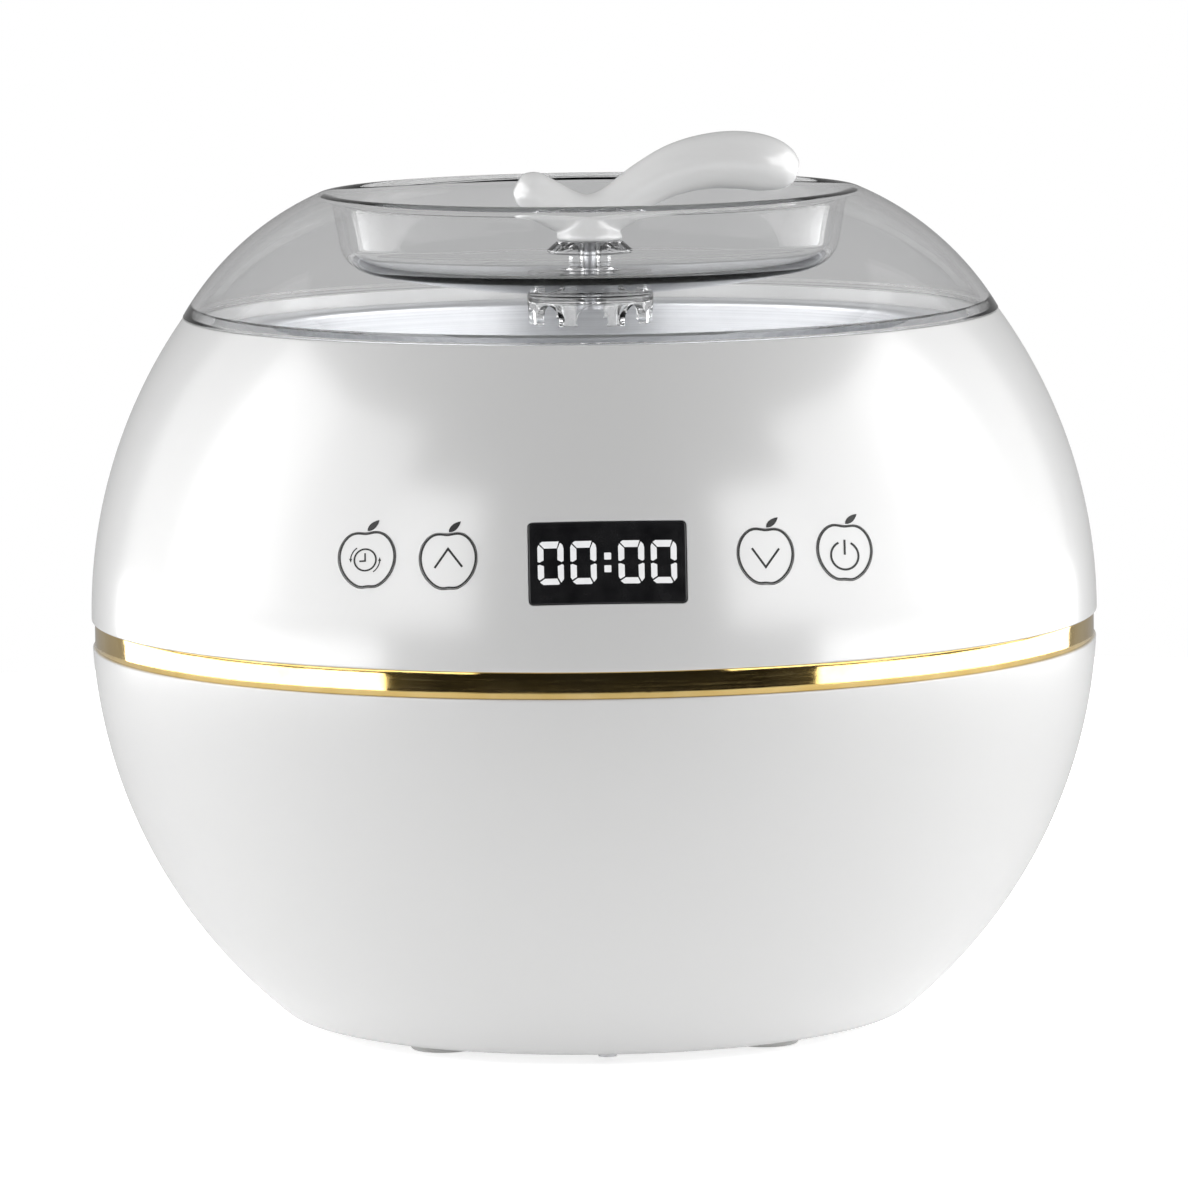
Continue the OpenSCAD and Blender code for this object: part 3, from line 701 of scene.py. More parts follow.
# Each material's maker and what it is given after its name.
MATERIALS = {
    "white_shell": (white_gloss, 0.7),
    "white_handle": (white_gloss, 0.84),
    "key_cap": (white_gloss, 0.7),
    "gold_trim": (gold,),
    "clear_lid": (clear_plastic, (0.965, 0.966, 0.967), 1.18),
    "clear_collar": (clear_plastic, (0.97, 0.975, 0.98), 1.49),
    "window_black": (black_lens,),
    # The ink prints the icons and leaves, and also draws the dark ring on each key's edge, which is
    # painted shade of the gap round the key as well as print.
    "ink": (ink, 0.006),
    "lit_digit": (lit_digit,),
    "tank_metal": (turned_metal, (0.6, 0.61, 0.63), (0.78, 0.79, 0.81), (0.28, 0.4)),
    "heater_metal": (turned_metal, (0.5, 0.5, 0.52), (0.66, 0.66, 0.68), (0.3, 0.45)),
    "steel": (plain_metal, (0.58, 0.58, 0.6), (0.74, 0.74, 0.76), (0.28, 0.38)),
    "element_sheath": (plain_metal, (0.3, 0.28, 0.25), (0.5, 0.47, 0.42), (0.4, 0.6), 500),
    "copper_alloy": (plain_metal, (0.6, 0.42, 0.2), (0.82, 0.63, 0.34), (0.28, 0.4)),
    "foot_rubber": (moulded, (0.56, 0.56, 0.55), (0.64, 0.64, 0.63), (0.55, 0.7), 700, 0.05),
    "seal_rubber": (moulded, (0.66, 0.66, 0.65), (0.75, 0.75, 0.74), (0.35, 0.5)),
    "felt": (needled_felt,),
    "board": (circuit_board,),
    "component_black": (moulded, (0.012, 0.012, 0.013), (0.03, 0.03, 0.03), (0.4, 0.55), 1400, 0.04),
    "component_blue": (moulded, (0.03, 0.09, 0.34), (0.06, 0.14, 0.44), (0.35, 0.5)),
    "component_yellow": (moulded, (0.62, 0.5, 0.08), (0.74, 0.62, 0.14), (0.4, 0.55)),
    "component_green": (moulded, (0.05, 0.26, 0.11), (0.1, 0.36, 0.17), (0.4, 0.55)),
    "wire_brown": (moulded, (0.12, 0.05, 0.02), (0.18, 0.08, 0.035), (0.4, 0.5)),
    "wire_red": (moulded, (0.45, 0.02, 0.015), (0.58, 0.04, 0.03), (0.4, 0.5)),
    "cable_grey": (moulded, (0.08, 0.08, 0.09), (0.13, 0.13, 0.14), (0.45, 0.55)),
    "grid_plastic": (moulded, (0.74, 0.74, 0.7), (0.8, 0.8, 0.76), (0.35, 0.45), 1100, 0.03),
}


# ---- white shells
EDGE = 0.45
HOLE_GAP = 0.16
HOLE_EDGE = 0.22


def shell_skin(form, z0, z1, depth, rows, holes, rule, side):
    """One side of a shell's wall between two heights, with holes given as loops of points on it."""
    heights = shell_rows(z0, z1, depth, rows)
    widths = [BODY_R * (2 * math.pi * k / COLUMNS - math.pi) for k in range(COLUMNS + 1)]
    border = [(u, heights[0]) for u in widths] + [(widths[-1], z) for z in heights[1:]]
    border += [(u, heights[-1]) for u in widths[-2::-1]] + [(widths[0], z) for z in heights[-2:0:-1]]
    grid = [(u, z) for u in widths[1:-1] for z in heights[1:-1]]
    flat_holes = [[(math.atan2(-side * p.x, side * p.y) * BODY_R, p.z) for p in loop] for loop in holes]

    def place(u, z):
        r = shell_r(z, depth)
        t = u / BODY_R
        return Vector((-side * r * math.sin(t), side * r * math.cos(t), z))

    form.patch([border] + flat_holes, place, rule, grid=grid)


def window_outline(grow, shrink=0.0):
    return rounded_bar(WINDOW_W + 2 * grow - shrink, WINDOW_H + 2 * grow - shrink,
                       max(WINDOW_ROUND + grow, 0.3))


def upper_shell(paint):
    form = Form()
    top_z = RIM_TOP_Z - EDGE
    inner_z = LEDGE_Z - LEDGE_H
    tongue_top = TRIM_Z1 + 6
    gap = WINDOW_GAP
    ledge = 2 * WINDOW_LEDGE
    outer_holes = [panel_loop(fruit(HOLE_GAP + HOLE_EDGE, middle), 0) for middle in KEYS.values()]
    outer_holes.append(panel_loop(window_outline(gap + HOLE_EDGE), 0))
    inner_holes = [panel_loop(fruit(HOLE_GAP, middle), WALL) for middle in KEYS.values()]
    inner_holes.append(panel_loop(window_outline(gap, ledge), WALL))
    shell_skin(form, TRIM_Z1 + EDGE, top_z, 0, 26, outer_holes, shell_normal, -1)
    shell_skin(form, tongue_top, inner_z, WALL, 22, inner_holes, inward, -1)
    cut = [(HOLE_EDGE, 0), (HOLE_EDGE * 0.3, HOLE_EDGE * 0.3), (0, HOLE_EDGE)]
    for middle in KEYS.values():
        form.skin([form.add(panel_loop(fruit(HOLE_GAP + g, middle), d)) for g, d in cut + [(0, WALL)]])
    levels = [(g, 0, d) for g, d in cut] + [(0, 0, WINDOW_T), (0, ledge, WINDOW_T), (0, ledge, WALL)]
    form.skin([form.add(panel_loop(window_outline(gap + g, s), d)) for g, s, d in levels])
    form.lathe(rounded([
        (shell_r(top_z), top_z, 0), (shell_r(RIM_TOP_Z), RIM_TOP_Z, EDGE), (RIM_IN, RIM_TOP_Z, 0.5),
        (RIM_IN, LEDGE_Z, 0.4), (LEDGE_IN, LEDGE_Z, 0.5), (LEDGE_IN, inner_z, 0.5),
        (shell_r(inner_z, WALL), inner_z, 0)]))
    form.lathe(rounded([
        (shell_r(tongue_top, WALL), tongue_top, 0), (TONGUE_IN, TRIM_Z1 + 1, 2),
        (TONGUE_IN, TONGUE_Z0, 0.4), (TONGUE_OUT, TONGUE_Z0, 0.4), (TONGUE_OUT, BEAD_Z - BEAD, 0),
        (TONGUE_OUT + BEAD, BEAD_Z, 0.3), (TONGUE_OUT, BEAD_Z + BEAD, 0), (TONGUE_OUT, TRIM_Z1, 0),
        (shell_r(TRIM_Z1), TRIM_Z1, EDGE), (shell_r(TRIM_Z1 + EDGE), TRIM_Z1 + EDGE, 0)]))
    bosses = [(x, v, -12) for x in (-26, 26) for v in (-9, 9)]
    bosses += [(x, v, -27) for x in (-54.25, 54.25) for v in (-10.5, 10.5)]
    for x, v, out in bosses:
        foot = on_panel(x, v, WALL * 0.6)
        reach = (foot - behind_panel(x, v, 0)).dot(PANEL_OUT)
        form.tube(behind_panel(x, v, 0), PANEL_OUT, PANEL_RIGHT, 2.6, out, reach)
    form.piece("upper_casing", paint["white_shell"], "base_unit", ["upper_shell"])


def pocket_outline(grow):
    return rounded_bar(POCKET_W + 2 * grow, POCKET_H + 2 * grow, POCKET_ROUND + grow)


def lower_shell(paint):
    form = Form()
    arc_angle = math.atan2(BASE_Z + BASE_ROUND - EQUATOR_Z, BASE_R + ARC_OFFSET)
    low_z = EQUATOR_Z + ARC_R * math.sin(arc_angle)
    top_z = TRIM_Z0 - EDGE
    outer = on_rear(pocket_outline(POCKET_EDGE), 0)
    inner = on_rear(pocket_outline(POCKET_WALL), WALL)
    shell_skin(form, low_z, top_z, 0, 34, [outer], shell_normal, 1)
    shell_skin(form, LIP_Z1 + 1, COLLAR_Z0 - 2, WALL, 28, [inner], inward, 1)
    mouth = [outer, on_rear(pocket_outline(0.2), 0.2), on_rear(pocket_outline(0), POCKET_EDGE)]
    opening = rounded_bar(INLET_W, INLET_H, INLET_ROUND)
    for depth, outline in ((0, pocket_outline(0)), (0, opening), (POCKET_WALL, opening),
                           (POCKET_WALL, pocket_outline(POCKET_WALL))):
        mouth.append([(x, INLET_Y - depth, z + INLET_Z) for x, z in outline])
    form.skin([form.add(loop) for loop in mouth + [inner]])
    form.lathe(rounded([
        (shell_r(top_z), top_z, 0), (shell_r(TRIM_Z0), TRIM_Z0, EDGE), (COLLAR_IN, TRIM_Z0, 0.2),
        (COLLAR_IN, BEAD_Z + 1, 0), (COLLAR_IN + BEAD, BEAD_Z, 0), (COLLAR_IN, BEAD_Z - 1, 0),
        (COLLAR_IN, COLLAR_Z0, 0), (shell_r(COLLAR_Z0 - 2, WALL), COLLAR_Z0 - 2, 0)]))
    base = arc(BASE_R, BASE_Z + BASE_ROUND, BASE_ROUND, arc_angle, -math.pi / 2, 10)
    base[0] = (shell_r(low_z), low_z)
    form.lathe([(shell_r(LIP_Z1 + 1, WALL), LIP_Z1 + 1)] + rounded([
        (shell_r(LIP_Z1 + 1, WALL) - 1, LIP_Z1, 0), (LIP_R, LIP_Z1, 0.5), (LIP_R, PLATE_Z1, 0.3),
        (RECESS_R, PLATE_Z1, 0.3), (RECESS_R, BASE_Z, 0.5), (BASE_R, BASE_Z, 0)])[:-1] + base[::-1])
    for k in range(4):
        a = k * math.pi / 2
        centre = Vector((BOSS_RING * math.cos(a), BOSS_RING * math.sin(a), 0))
        low = PLATE_Z1 + 0.2
        form.lathe([(BOSS_IN, low), (BOSS_OUT, low), (BOSS_OUT, BOSS_TOP), (BOSS_IN, BOSS_TOP)], 32,
                   closed=True, about=centre.xy)
    form.piece("lower_casing", paint["white_shell"], "base_unit", ["lower_shell"])


def trim_ring(paint):
    form = Form()
    edge = 0.35
    form.lathe(rounded([
        (TONGUE_OUT, (TRIM_Z0 + TRIM_Z1) / 2, 0), (TONGUE_OUT, TRIM_Z0, 0), (TRIM_R, TRIM_Z0, edge),
        (TRIM_R, TRIM_Z0 + 2, 0), (TRIM_R, TRIM_Z1 - 2, 0), (TRIM_R, TRIM_Z1, edge),
        (TONGUE_OUT, TRIM_Z1, 0)]), 360, closed=True)
    form.piece("gold_trim_ring", paint["gold_trim"], "base_unit", ["trim_ring"])


# ---- key panel
PRINT_T = 0.05
PRINT_SINK = 0.02
PRINT_STEP = 0.8


def front_edge(size, proud=0.0):
    """The (growth, depth) levels that round a plate's front edge."""
    turns = [math.radians(a) for a in (0, 22, 45, 67, 90)]
    return [(-size * (1 - math.cos(a)), size * (1 - math.sin(a)) - proud) for a in turns]


def key_cap(paint, name, middle):
    form = Form()
    levels = [(KEY_FLANGE, KEY_DEPTH), (KEY_FLANGE, KEY_FLANGE_DEPTH), (0, KEY_FLANGE_DEPTH)]
    levels += front_edge(KEY_EDGE, KEY_PROUD)
    form.stack(lambda grow: fruit(grow, middle), levels, on_panel, shell_normal, 1.3)
    face = behind_panel(*middle, 0)
    reach = (on_panel(*middle, KEY_DEPTH - 0.5) - face).dot(PANEL_OUT)
    form.tube(face, PANEL_OUT, PANEL_RIGHT, KEY_STEM_R, KEY_STEM_END, reach)
    form.piece(name + "_key_cap", paint["key_cap"], name + "_key", [name + "_button"])


def stroke(points, width, closed=False):
    """The two sides of a drawn line, with square ends."""
    n = len(points)
    left, right = [], []
    for i, p in enumerate(points):
        before = points[i - 1] if closed or i > 0 else None
        after = points[(i + 1) % n] if closed or i < n - 1 else None
        here = Vector(p)
        into = (here - Vector(before)).normalized() if before else None
        out = (Vector(after) - here).normalized() if after else None
        into, out = into or out, out or into
        along = (into + out).normalized()
        side = Vector((-along.y, along.x))
        reach = width / 2 / max(0.35, along.dot(into))
        left.append(tuple(here + side * reach))
        right.append(tuple(here - side * reach))
    return left, right


def print_line(form, middle, points, width, closed=False):
    """A line of ink on a key: a thin closed ribbon that follows its surface."""
    left, right = stroke(points, width, closed)
    low = PRINT_SINK - KEY_PROUD
    top = -KEY_PROUD - PRINT_T
    corners = [(left, low), (left, top), (right, top), (right, low)]
    x0, v0 = middle
    rails = [form.add([on_panel(x0 + x, v0 + v, d) for x, v in side]) for side, d in corners]
    for a, b in zip(rails, rails[1:] + rails[:1]):
        form.strip(a, b, closed=closed)
    if not closed:
        form.face([r[0] for r in rails])
        form.face([r[-1] for r in rails][::-1])


def print_shape(form, outline, base):
    """A filled shape of ink or light on the panel, base above the shell's surface."""
    levels = [(0, PRINT_SINK - base), (0, -base - PRINT_T)]
    form.stack(lambda grow: outline, levels, on_panel, shell_normal, PRINT_STEP)


LINE = 0.6
FINE_LINE = 0.48
# The dark ring on each key's edge is its printed outline and also painted shade of the gap round the key.
RIM_INK_AND_GAP_SHADE = 0.5
RIM_INK_AND_GAP_SHADE_INSET = -0.3


def timer_icon(form, middle):
    cx, cy, r = -0.5, 0.0, 2.95
    arrow_r = r + 1.05
    print_line(form, middle, turn_points(cx, cy, r, 0, 360, 48)[:-1], FINE_LINE, closed=True)
    print_line(form, middle, [(cx, cy + 1.85), (cx, cy - 0.3), (cx - 1.6, cy - 0.3)], 0.45)
    for turn in (0, 180):
        print_line(form, middle, turn_points(cx, cy, arrow_r, turn + 122, turn + 172, 16), 0.32)
        foot, tip = (Vector(p) for p in turn_points(cx, cy, arrow_r, turn + 172, turn + 188, 1))
        along = (tip - foot).normalized()
        side = Vector((-along.y, along.x)) * 0.42
        head = [tip, foot + side, foot - side]
        print_shape(form, [(middle[0] + p.x, middle[1] + p.y) for p in head], KEY_PROUD)


def chevron_icon(form, middle, apex, foot):
    print_line(form, middle, [(-3.75, foot), (0, apex), (3.75, foot)], LINE)


def power_icon(form, middle):
    cy, r, gap = -0.85, 3.85, 26
    print_line(form, middle, turn_points(0, cy, r, 90 + gap, 450 - gap, 48), LINE)
    print_line(form, middle, [(0, 3.5), (0, -0.65)], LINE)


def key_prints_and_gap_shade(paint):
    icons = {
        "timer": timer_icon,
        "up": lambda form, middle: chevron_icon(form, middle, 3.35, -1.75),
        "down": lambda form, middle: chevron_icon(form, middle, -3.0, 2.15),
        "power": power_icon,
    }
    for name, middle in KEYS.items():
        form = Form()
        # Dark ring on the key's edge: printed outline, and also painted shade of the gap round the key.
        print_line(form, middle, fruit(RIM_INK_AND_GAP_SHADE_INSET), RIM_INK_AND_GAP_SHADE, closed=True)
        icons[name](form, middle)
        form.piece(name + "_key_print", paint["ink"], name + "_key")


def leaf_outline(x0, v0):
    """A small pointed leaf over a key's dip, leaning to the right."""
    root = Vector((x0 + 0.3, v0 + 7.95))
    tip = Vector((x0 + 3.6, v0 + 10.75))
    along = tip - root
    side = Vector((-along.y, along.x)).normalized()
    outline = []
    for sign in (1, -1):
        for i in range(12):
            s = i / 12 if sign > 0 else 1 - i / 12
            width = 0.85 * math.sin(math.pi * s ** 0.85) ** 0.8 if 0 < s < 1 else 0
            p = root + along * s + side * sign * width
            outline.append((p.x, p.y))
    return outline[::-1]


def leaf_prints(paint):
    form = Form()
    for middle in KEYS.values():
        print_shape(form, leaf_outline(*middle), 0)
    form.piece("leaf_prints", paint["ink"], "base_unit")


def display_window(paint):
    form = Form()
    form.stack(window_outline, [(0, WINDOW_T)] + front_edge(WINDOW_EDGE), on_panel, shell_normal, 2.2)
    form.piece("display_lens", paint["window_black"], "base_unit", ["display_window"])


# One lit zero, as its six segments about its own middle; the middle bar is dark.
ZERO = (
    ((-3.05, 5.35), (-1.75, 3.98), (1.8, 3.98), (2.4, 5.88), (-2.3, 5.88)),
    ((-3.2, 5.1), (-3.55, 4.3), (-3.53, 0.37), (-2.95, 0.15), (-1.85, 0.77), (-1.85, 3.75)),
    ((-3.53, -0.5), (-3.5, -4.1), (-3.05, -4.72), (-1.78, -3.95), (-1.8, -0.75), (-2.9, -0.3)),
    ((-3.05, -5.15), (-2.1, -5.92), (2.2, -5.92), (2.5, -5.6), (1.8, -4.2), (-1.6, -4.2)),
    ((2.62, 5.6), (1.87, 3.75), (1.85, 0.77), (3.0, 0.15), (3.55, 0.5), (3.58, 3.9), (3.35, 4.9)),
    ((3.1, -0.27), (1.9, -0.8), (1.98, -3.95), (2.8, -5.45), (3.58, -4.5), (3.58, -0.5)),
)
DIGIT_X = (-15.5, -6.6, 6.4, 15.25)
DIGIT_LIFT = 0.1
SEGMENT_FIT = 0.97
COLON_V = (1.72, -1.72)
DOT = 1.9
DOT_ROUND = 0.25


def display_digits(paint):
    form = Form()
    for x0 in DIGIT_X:
        for segment in ZERO:
            middle = sum((Vector(p) for p in segment), Vector((0, 0))) / len(segment)
            drawn = [middle + (Vector(p) - middle) * SEGMENT_FIT for p in segment]
            print_shape(form, [(x0 + p.x, p.y + DIGIT_LIFT) for p in drawn], 0)
    for v0 in COLON_V:
        print_shape(form, [(x, v + v0) for x, v in rounded_bar(DOT, DOT, DOT_ROUND, 3)], 0)
    form.piece("display_digits", paint["lit_digit"], "base_unit")


# ---- lid and handle
def dish_shape():
    """Centres and angles of the lid's arcs: the crest roll and the dish's corner."""
    reach = math.sqrt((SHOULDER_R - CREST_ROUND) ** 2 - (CREST_X - SHOULDER_X) ** 2)
    crest_angle = math.atan2(reach, CREST_X - SHOULDER_X)
    crest_z = SHOULDER_Z + (SHOULDER_R - CREST_ROUND) * math.sin(crest_angle)
    rise = DISH_ROUND * (math.cos(FLOOR_SLOPE) - math.cos(WALL_SLOPE))
    run = DISH_ROUND * (math.sin(WALL_SLOPE) - math.sin(FLOOR_SLOPE))
    top_x = CREST_X - CREST_ROUND * math.sin(WALL_SLOPE)
    top_z = crest_z + CREST_ROUND * math.cos(WALL_SLOPE)
    floor_rise = math.tan(FLOOR_SLOPE / 2)
    length = (top_z - rise - DISH_Z - floor_rise * (top_x - run))
    length /= math.sin(WALL_SLOPE) - floor_rise * math.cos(WALL_SLOPE)
    end_x = top_x - length * math.cos(WALL_SLOPE)
    end_z = top_z - length * math.sin(WALL_SLOPE)
    corner_x = end_x - DISH_ROUND * math.sin(WALL_SLOPE)
    corner_z = end_z + DISH_ROUND * math.cos(WALL_SLOPE)
    floor_r = (end_x - run) / math.sin(FLOOR_SLOPE)
    return crest_angle, crest_z, corner_x, corner_z, floor_r


def lid_side(t):
    """The lid's profile a thickness t below its outside, from the rim to the screw hole."""
    crest_angle, crest_z, corner_x, corner_z, floor_r = dish_shape()
    start = math.asin((RIM_Z + (2 if t else 0) - SHOULDER_Z) / (SHOULDER_R - t))
    down = math.pi / 2
    hole = math.asin(SCREW_HOLE_R / (floor_r + t))
    path = arc(SHOULDER_X, SHOULDER_Z, SHOULDER_R - t, start, crest_angle, 40)
    path += arc(CREST_X, crest_z, CREST_ROUND - t, crest_angle, down + WALL_SLOPE, 24)[1:]
    path += arc(corner_x, corner_z, DISH_ROUND + t, WALL_SLOPE - down, FLOOR_SLOPE - down, 24)
    path += arc(0, DISH_Z + floor_r, floor_r + t, FLOOR_SLOPE - down, hole - down, 20)[1:]
    return path


def lid_shell(paint):
    form = Form()
    skirt = rounded([(SKIRT_IN, RIM_Z + 1, 0), (SKIRT_IN, SKIRT_Z0, 0.6), (SKIRT_OUT, SKIRT_Z0, 0.6),
                     (SKIRT_OUT, RIM_Z, 0.25), (lid_side(0)[0][0], RIM_Z, 0)])
    profile = lid_side(0)[1:] + lid_side(LID_WALL)[::-1] + skirt
    form.lathe(profile, 288, closed=True)
    form.piece("clear_lid", paint["clear_lid"], "lid", ["lid_shell"], sharp=CLEAR_SHARP)


def handle_collar(paint):
    form = Form()
    z = DISH_Z + 0.2
    profile = rounded([
        (SCREW_HOLE_R, z + 1, 0), (SCREW_HOLE_R, z, 0), (8.6, z, 0.3), (8.6, z + 0.7, 0.3),
        (6, z + 1.6, 0.6), (6, DISH_Z + 8.4, 0.5), (12.3, DISH_Z + 9, 0.4), (12.3, DISH_Z + 10, 0.4),
        (9.4, STEM_BASE_Z, 0.3), (SCREW_HOLE_R, STEM_BASE_Z, 0), (SCREW_HOLE_R, STEM_BASE_Z - 1, 0)])
    form.lathe(profile, 96, closed=True)
    form.piece("handle_seat", paint["clear_collar"], "lid", ["handle_collar"],
               sharp=CLEAR_SHARP)


def petal_collar(paint):
    top = DISH_Z - LID_WALL - 0.05
    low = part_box("petal_collar")[0].z / MM
    inner = PETAL_R - PETAL_WALL
    under = top - PETAL_PLATE
    form = Form()
    form.lathe(rounded([
        (SCREW_HOLE_R, top - 1, 0), (SCREW_HOLE_R, under, 0), (inner, under, 0.8), (inner, low, 0.6),
        (PETAL_R, low, 0.6), (PETAL_R, top, 0.8), (SCREW_HOLE_R, top, 0)]), 160, closed=True)
    cutter = Form()
    for k in range(4):
        a = k * math.pi / 4
        along = Vector((math.sin(a), math.cos(a), 0))
        side = Vector((along.y, -along.x, 0))
        centre = Vector((0, 0, low + ARCH_RISE))
        for sign in (-1, 1):
            cutter.tube(centre, along * sign, side, ARCH_R, inner - 4, PETAL_R + 4, 48)
    tool = placed("petal_cutter", cutter.mesh("petal_cutter"))
    obj = placed("petal_ring", form.mesh("petal_ring", CLEAR_SHARP))
    cut = obj.modifiers.new("arches", "BOOLEAN")
    cut.object = tool
    cut.solver = "EXACT"
    apply_modifiers(obj)
    bpy.data.objects.remove(tool)
    obj.data.shade_smooth()
    obj.data.set_sharp_from_angle(angle=math.radians(CLEAR_SHARP))
    settle(obj, paint["clear_collar"], "lid", ["petal_collar"])


# The handle's spine from its left tip to its right tip: x, height, radius.
SPINE = ((-20.5, 242, 3), (-17.5, 240.2, 5.6), (-12, 236.8, 6.2), (-6, 233.6, 6.2), (0, 232.2, 6.3),
         (7, 234.6, 6.3), (16, 240.8, 6.6), (25, 245.2, 7.4), (34, 247.3, 8), (43, 247.6, 8.4),
         (51, 246.4, 8), (57, 244.8, 6), (60, 244, 3))


def curve_through(points, n):
    """A smooth curve through points, with n steps between neighbours."""
    points = [Vector(p) for p in points]
    last = len(points) - 1
    path = []
    for i in range(last):
        a, b, c, d = (points[max(i - 1, 0)], points[i], points[i + 1], points[min(i + 2, last)])
        for k in range(n):
            t = k / n
            path.append(0.5 * (2 * b + (c - a) * t + (2 * a - 5 * b + 4 * c - d) * t * t
                               + (3 * b - a - 3 * c + d) * t ** 3))
    return path + [points[-1]]


def handle(paint):
    """The two lobes and the stem, blended into one smooth moulding."""
    form = Form()
    path = curve_through(SPINE, 8)
    rings = []
    for i, (x, z, r) in enumerate(path):
        before, after = path[max(i - 1, 0)], path[min(i + 1, len(path) - 1)]
        along = Vector((after.x - before.x, 0, after.y - before.y)).normalized()
        up = Vector((-along.z, 0, along.x))
        rings.append(form.add([Vector((x, 0, z)) + r * (math.sin(t) * up + math.cos(t) * Vector((0, 1, 0)))
                               for t in full_turn(32)]))
    form.skin(rings)
    form.face(rings[0][::-1])
    form.face(rings[-1])
    z = STEM_BASE_Z
    form.lathe(rounded([(0, z, 0), (9.3, z, 0.4), (9.6, z + 1.4, 0.6), (7.6, z + 4.2, 2),
                        (6.2, z + 8, 0), (0, z + 8, 0)]), 48)
    obj = placed("leaf_handle", form.mesh("leaf_handle"))
    remesh = obj.modifiers.new("blend", "REMESH")
    remesh.mode = "VOXEL"
    remesh.voxel_size = 0.55 * MM
    smooth = obj.modifiers.new("soften", "SMOOTH")
    smooth.factor = 0.5
    smooth.iterations = 14
    apply_modifiers(obj)
    obj.data.shade_smooth()
    settle(obj, paint["white_handle"], "lid", ["handle"])


# ---- tank, inlet, feet
def wax_tank(paint):
    form = Form()
    corner_x = TANK_R - TANK_ROUND
    corner_z = TANK_FLOOR_Z + TANK_ROUND
    down = -math.pi / 2
    inner = arc(corner_x, corner_z, TANK_ROUND, down, 0, 14)
    outer = arc(corner_x, corner_z, TANK_ROUND + TANK_WALL, 0, down, 14)
    top = rounded([
        (*inner[-1], 0), (TANK_TOP_R, FLANGE_Z1, 1.6), (FLANGE_R, FLANGE_Z1, 0.5),
        (FLANGE_R, FLANGE_Z0, 0.5), (TANK_TOP_R + TANK_WALL, FLANGE_Z0, 0.4), (*outer[0], 0)], 6)
    form.lathe([(0, TANK_FLOOR_Z)] + inner[:-1] + top + outer[1:] + [(0, TANK_FLOOR_Z - TANK_WALL)])
    form.piece("wax_pot", paint["tank_metal"], "base_unit", ["wax_tank"])


def feet(paint):
    for node, angle in (("foot_front_left", -FOOT_ANGLE), ("foot_front_right", FOOT_ANGLE),
                        ("foot_rear_left", 180 + FOOT_ANGLE), ("foot_rear_right", 180 - FOOT_ANGLE)):
        a = math.radians(angle)
        form = Form()
        profile = rounded([
            (0, 0.5, 0), (5.2, 0.5, 0.4), (5.8, 0, 0.4), (FOOT_R, 0, 0.9), (FOOT_R, 3, 0), (3, 3, 0),
            (3, PLATE_Z1, 0), (3.7, PLATE_Z1, 0.2), (2.4, PLATE_Z1 + 3, 0.6), (0, PLATE_Z1 + 3, 0)])
        form.lathe(profile, 64, about=(FOOT_RING * math.sin(a), -FOOT_RING * math.cos(a)))
        form.piece(node + "_pad", paint["foot_rubber"], "base_unit", [node])


def dress_cad_nodes(paint):
    """Gives every CAD node that still shows the material of its slot."""
    for entry in frame["record"]["subparts"]:
        materials = frame["nodes"][entry["node"]].data.materials
        materials.clear()
        materials.append(paint[entry["material_slot"]])


# ---- stage, light and camera
TARGET_Z = 0.1227
CAMERA_FAR = 2.335
CAMERA_HEIGHT = 0.3926
CAMERA_AZIMUTH = math.radians(1.55)
CAMERA_ROLL = math.radians(-0.72)
CAMERA_LENS = 246.5
FLOOR_R = 0.85
FLOOR_Z = -0.0002
TABLE_GLOW = 0.2
LAMP_FAR = 1.3
LAMP_EYE = 0.11


def make_camera():
    camera = placed("camera", bpy.data.cameras.new("camera"))
    camera.data.lens = CAMERA_LENS
    camera.data.sensor_width = 36
    camera.data.clip_start = 0.05
    camera.data.clip_end = 50
    camera.location = (-CAMERA_FAR * math.sin(CAMERA_AZIMUTH),
                       -CAMERA_FAR * math.cos(CAMERA_AZIMUTH), CAMERA_HEIGHT)
    look = Vector((0, 0, TARGET_Z)) - camera.location
    camera.rotation_mode = "QUATERNION"
    camera.rotation_quaternion = look.to_track_quat("-Z", "Y") @ Quaternion((0, 0, 1), CAMERA_ROLL)
    bpy.context.scene.camera = camera


def softbox(name, first, last, low, high, radiance):
    """A soft lamp that the object sees between two azimuths and two elevations, in degrees."""
    middle = math.radians((first + last) / 2)
    width = 2 * LAMP_FAR * math.tan(math.radians(abs(last - first) / 2))
    z0 = LAMP_EYE + LAMP_FAR * math.tan(math.radians(low))
    z1 = LAMP_EYE + LAMP_FAR * math.tan(math.radians(high))
    lamp = bpy.data.lights.new(name, "AREA")
    lamp.shape = "RECTANGLE"
    lamp.size = width
    lamp.size_y = z1 - z0
    lamp.energy = radiance * math.pi * width * (z1 - z0)
    obj = placed(name, lamp)
    obj.location = (LAMP_FAR * math.sin(middle), -LAMP_FAR * math.cos(middle), (z0 + z1) / 2)
    obj.rotation_mode = "QUATERNION"
    aim = Vector((-math.sin(middle), math.cos(middle), 0))
    obj.rotation_quaternion = aim.to_track_quat("-Z", "Y")


def make_lights():
    for side, sign, front, middle, beside in (("left", -1, 2.5, 1.8, 2.6), ("right", 1, 2.7, 2.2, 2.8)):
        softbox("front_" + side, sign * 27, sign * 48, 2, 30, front)
        softbox("middle_" + side, sign * 48, sign * 75, 1, 42, middle)
        softbox("beside_" + side, sign * 75, sign * 108, 1, 42, beside)
        softbox("back_" + side, sign * 108, sign * 132, 1, 42, 0.7)
        softbox("strip_" + side, sign * 48, sign * 134, -12, -1.5, 4.6)


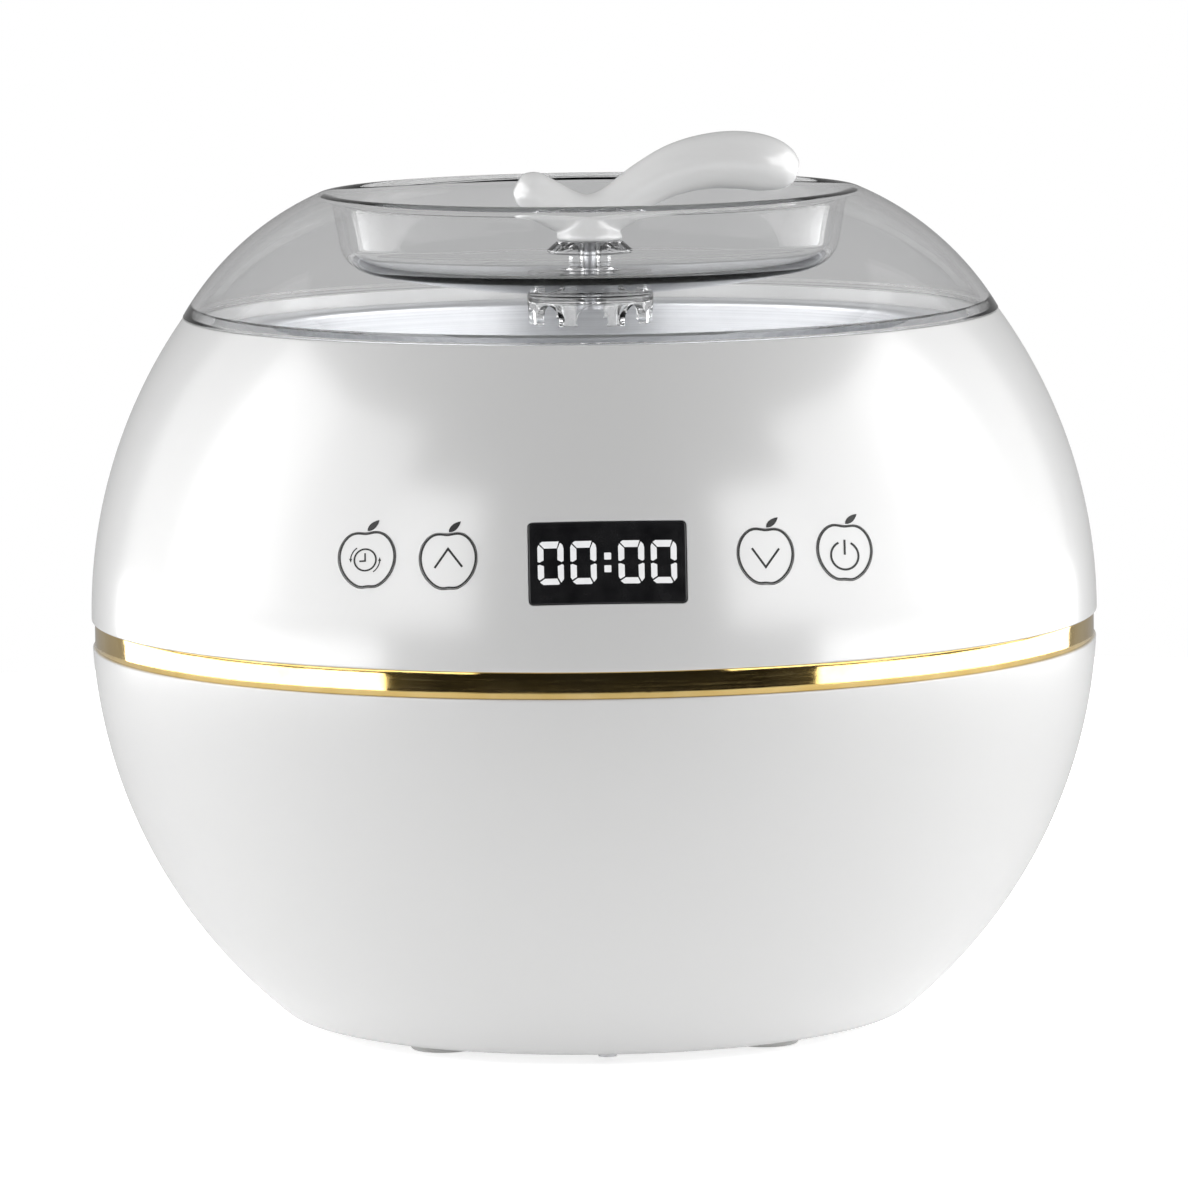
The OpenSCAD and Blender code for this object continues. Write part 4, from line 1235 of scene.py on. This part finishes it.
def make_world():
    """A grey room that is dark behind the camera; the camera itself sees plain white past the object."""
    world = bpy.data.worlds.new("room")
    bpy.context.scene.world = world
    world.use_nodes = True
    tree = world.node_tree
    tree.nodes.clear()
    kinds = ("TexCoord", "SeparateXYZ", "MapRange", "ValToRGB", "LightPath", "Background", "Background",
             "Background", "MixShader", "MixShader", "OutputWorld")
    made = [tree.nodes.new("ShaderNode" + kind) for kind in kinds]
    place, split, shift, ramp, path, room, plain, through, glass_mix, mix, out = made
    link = tree.links.new
    shift.inputs["From Min"].default_value = -1
    link(place.outputs["Generated"], split.inputs[0])
    link(split.outputs["Y"], shift.inputs["Value"])
    link(shift.outputs["Result"], ramp.inputs["Fac"])
    for element, position, shade in zip(ramp.color_ramp.elements, (0.1, 0.6), (0.02, 0.36)):
        element.position = position
        element.color = (shade, shade, shade, 1)
    link(ramp.outputs["Color"], room.inputs["Color"])
    plain.inputs["Color"].default_value = (1, 1, 1, 1)
    link(path.outputs["Is Camera Ray"], mix.inputs[0])
    through.inputs["Color"].default_value = (0.5, 0.5, 0.502, 1)
    link(path.outputs["Is Transmission Ray"], glass_mix.inputs[0])
    link(room.outputs[0], glass_mix.inputs[1])
    link(through.outputs[0], glass_mix.inputs[2])
    link(glass_mix.outputs[0], mix.inputs[1])
    link(plain.outputs[0], mix.inputs[2])
    link(mix.outputs[0], out.inputs["Surface"])


def floor_paint():
    """Pale floor that fades into the white backdrop a little way from the object."""
    paint = Paint("pale_floor", Roughness=0.7)
    path = paint.node("ShaderNodeLightPath")
    glow = paint.node("ShaderNodeEmission")
    add = paint.node("ShaderNodeAddShader")
    distance = paint.node("ShaderNodeVectorMath", operation="LENGTH")
    paint.link(paint.place, distance.inputs[0])
    speckle = paint.math("MULTIPLY", paint.noise(300, 3), 0.03)
    reach = paint.math("ADD", distance.outputs["Value"], speckle)
    paint.colours(reach, (0.9, 0.9, 0.9), (0.86, 0.86, 0.86), 0.3, 0.75)
    reach = paint.spread(distance.outputs["Value"], 0.42, 1.0, 0.12, 0.7)
    seen = paint.math("MULTIPLY", reach, path.outputs["Is Camera Ray"])
    lit = paint.spread(distance.outputs["Value"], TABLE_GLOW, 0.0, 0.17, 0.36)
    paint.link(paint.math("ADD", seen, lit), glow.inputs["Strength"])
    paint.link(paint.shader.outputs[0], add.inputs[0])
    paint.link(glow.outputs[0], add.inputs[1])
    paint.link(add.outputs[0], paint.tree.nodes["Material Output"].inputs["Surface"])
    return paint.material


def make_floor():
    bm = bmesh.new()
    bmesh.ops.create_circle(bm, cap_ends=True, segments=96, radius=FLOOR_R)
    mesh = bpy.data.meshes.new("floor")
    bm.to_mesh(mesh)
    bm.free()
    floor = placed("floor", mesh)
    floor.location.z = FLOOR_Z
    mesh.materials.append(floor_paint())


def build_object():
    paint = {name: make(name, *values) for name, (make, *values) in MATERIALS.items()}
    dress_cad_nodes(paint)
    upper_shell(paint)
    lower_shell(paint)
    trim_ring(paint)
    for name, middle in KEYS.items():
        key_cap(paint, name, middle)
    key_prints_and_gap_shade(paint)
    leaf_prints(paint)
    display_window(paint)
    display_digits(paint)
    lid_shell(paint)
    handle_collar(paint)
    petal_collar(paint)
    handle(paint)
    wax_tank(paint)
    feet(paint)


make_camera()
make_lights()
make_world()
make_floor()
build_object()
bpy.context.scene.view_settings.view_transform = "Standard"
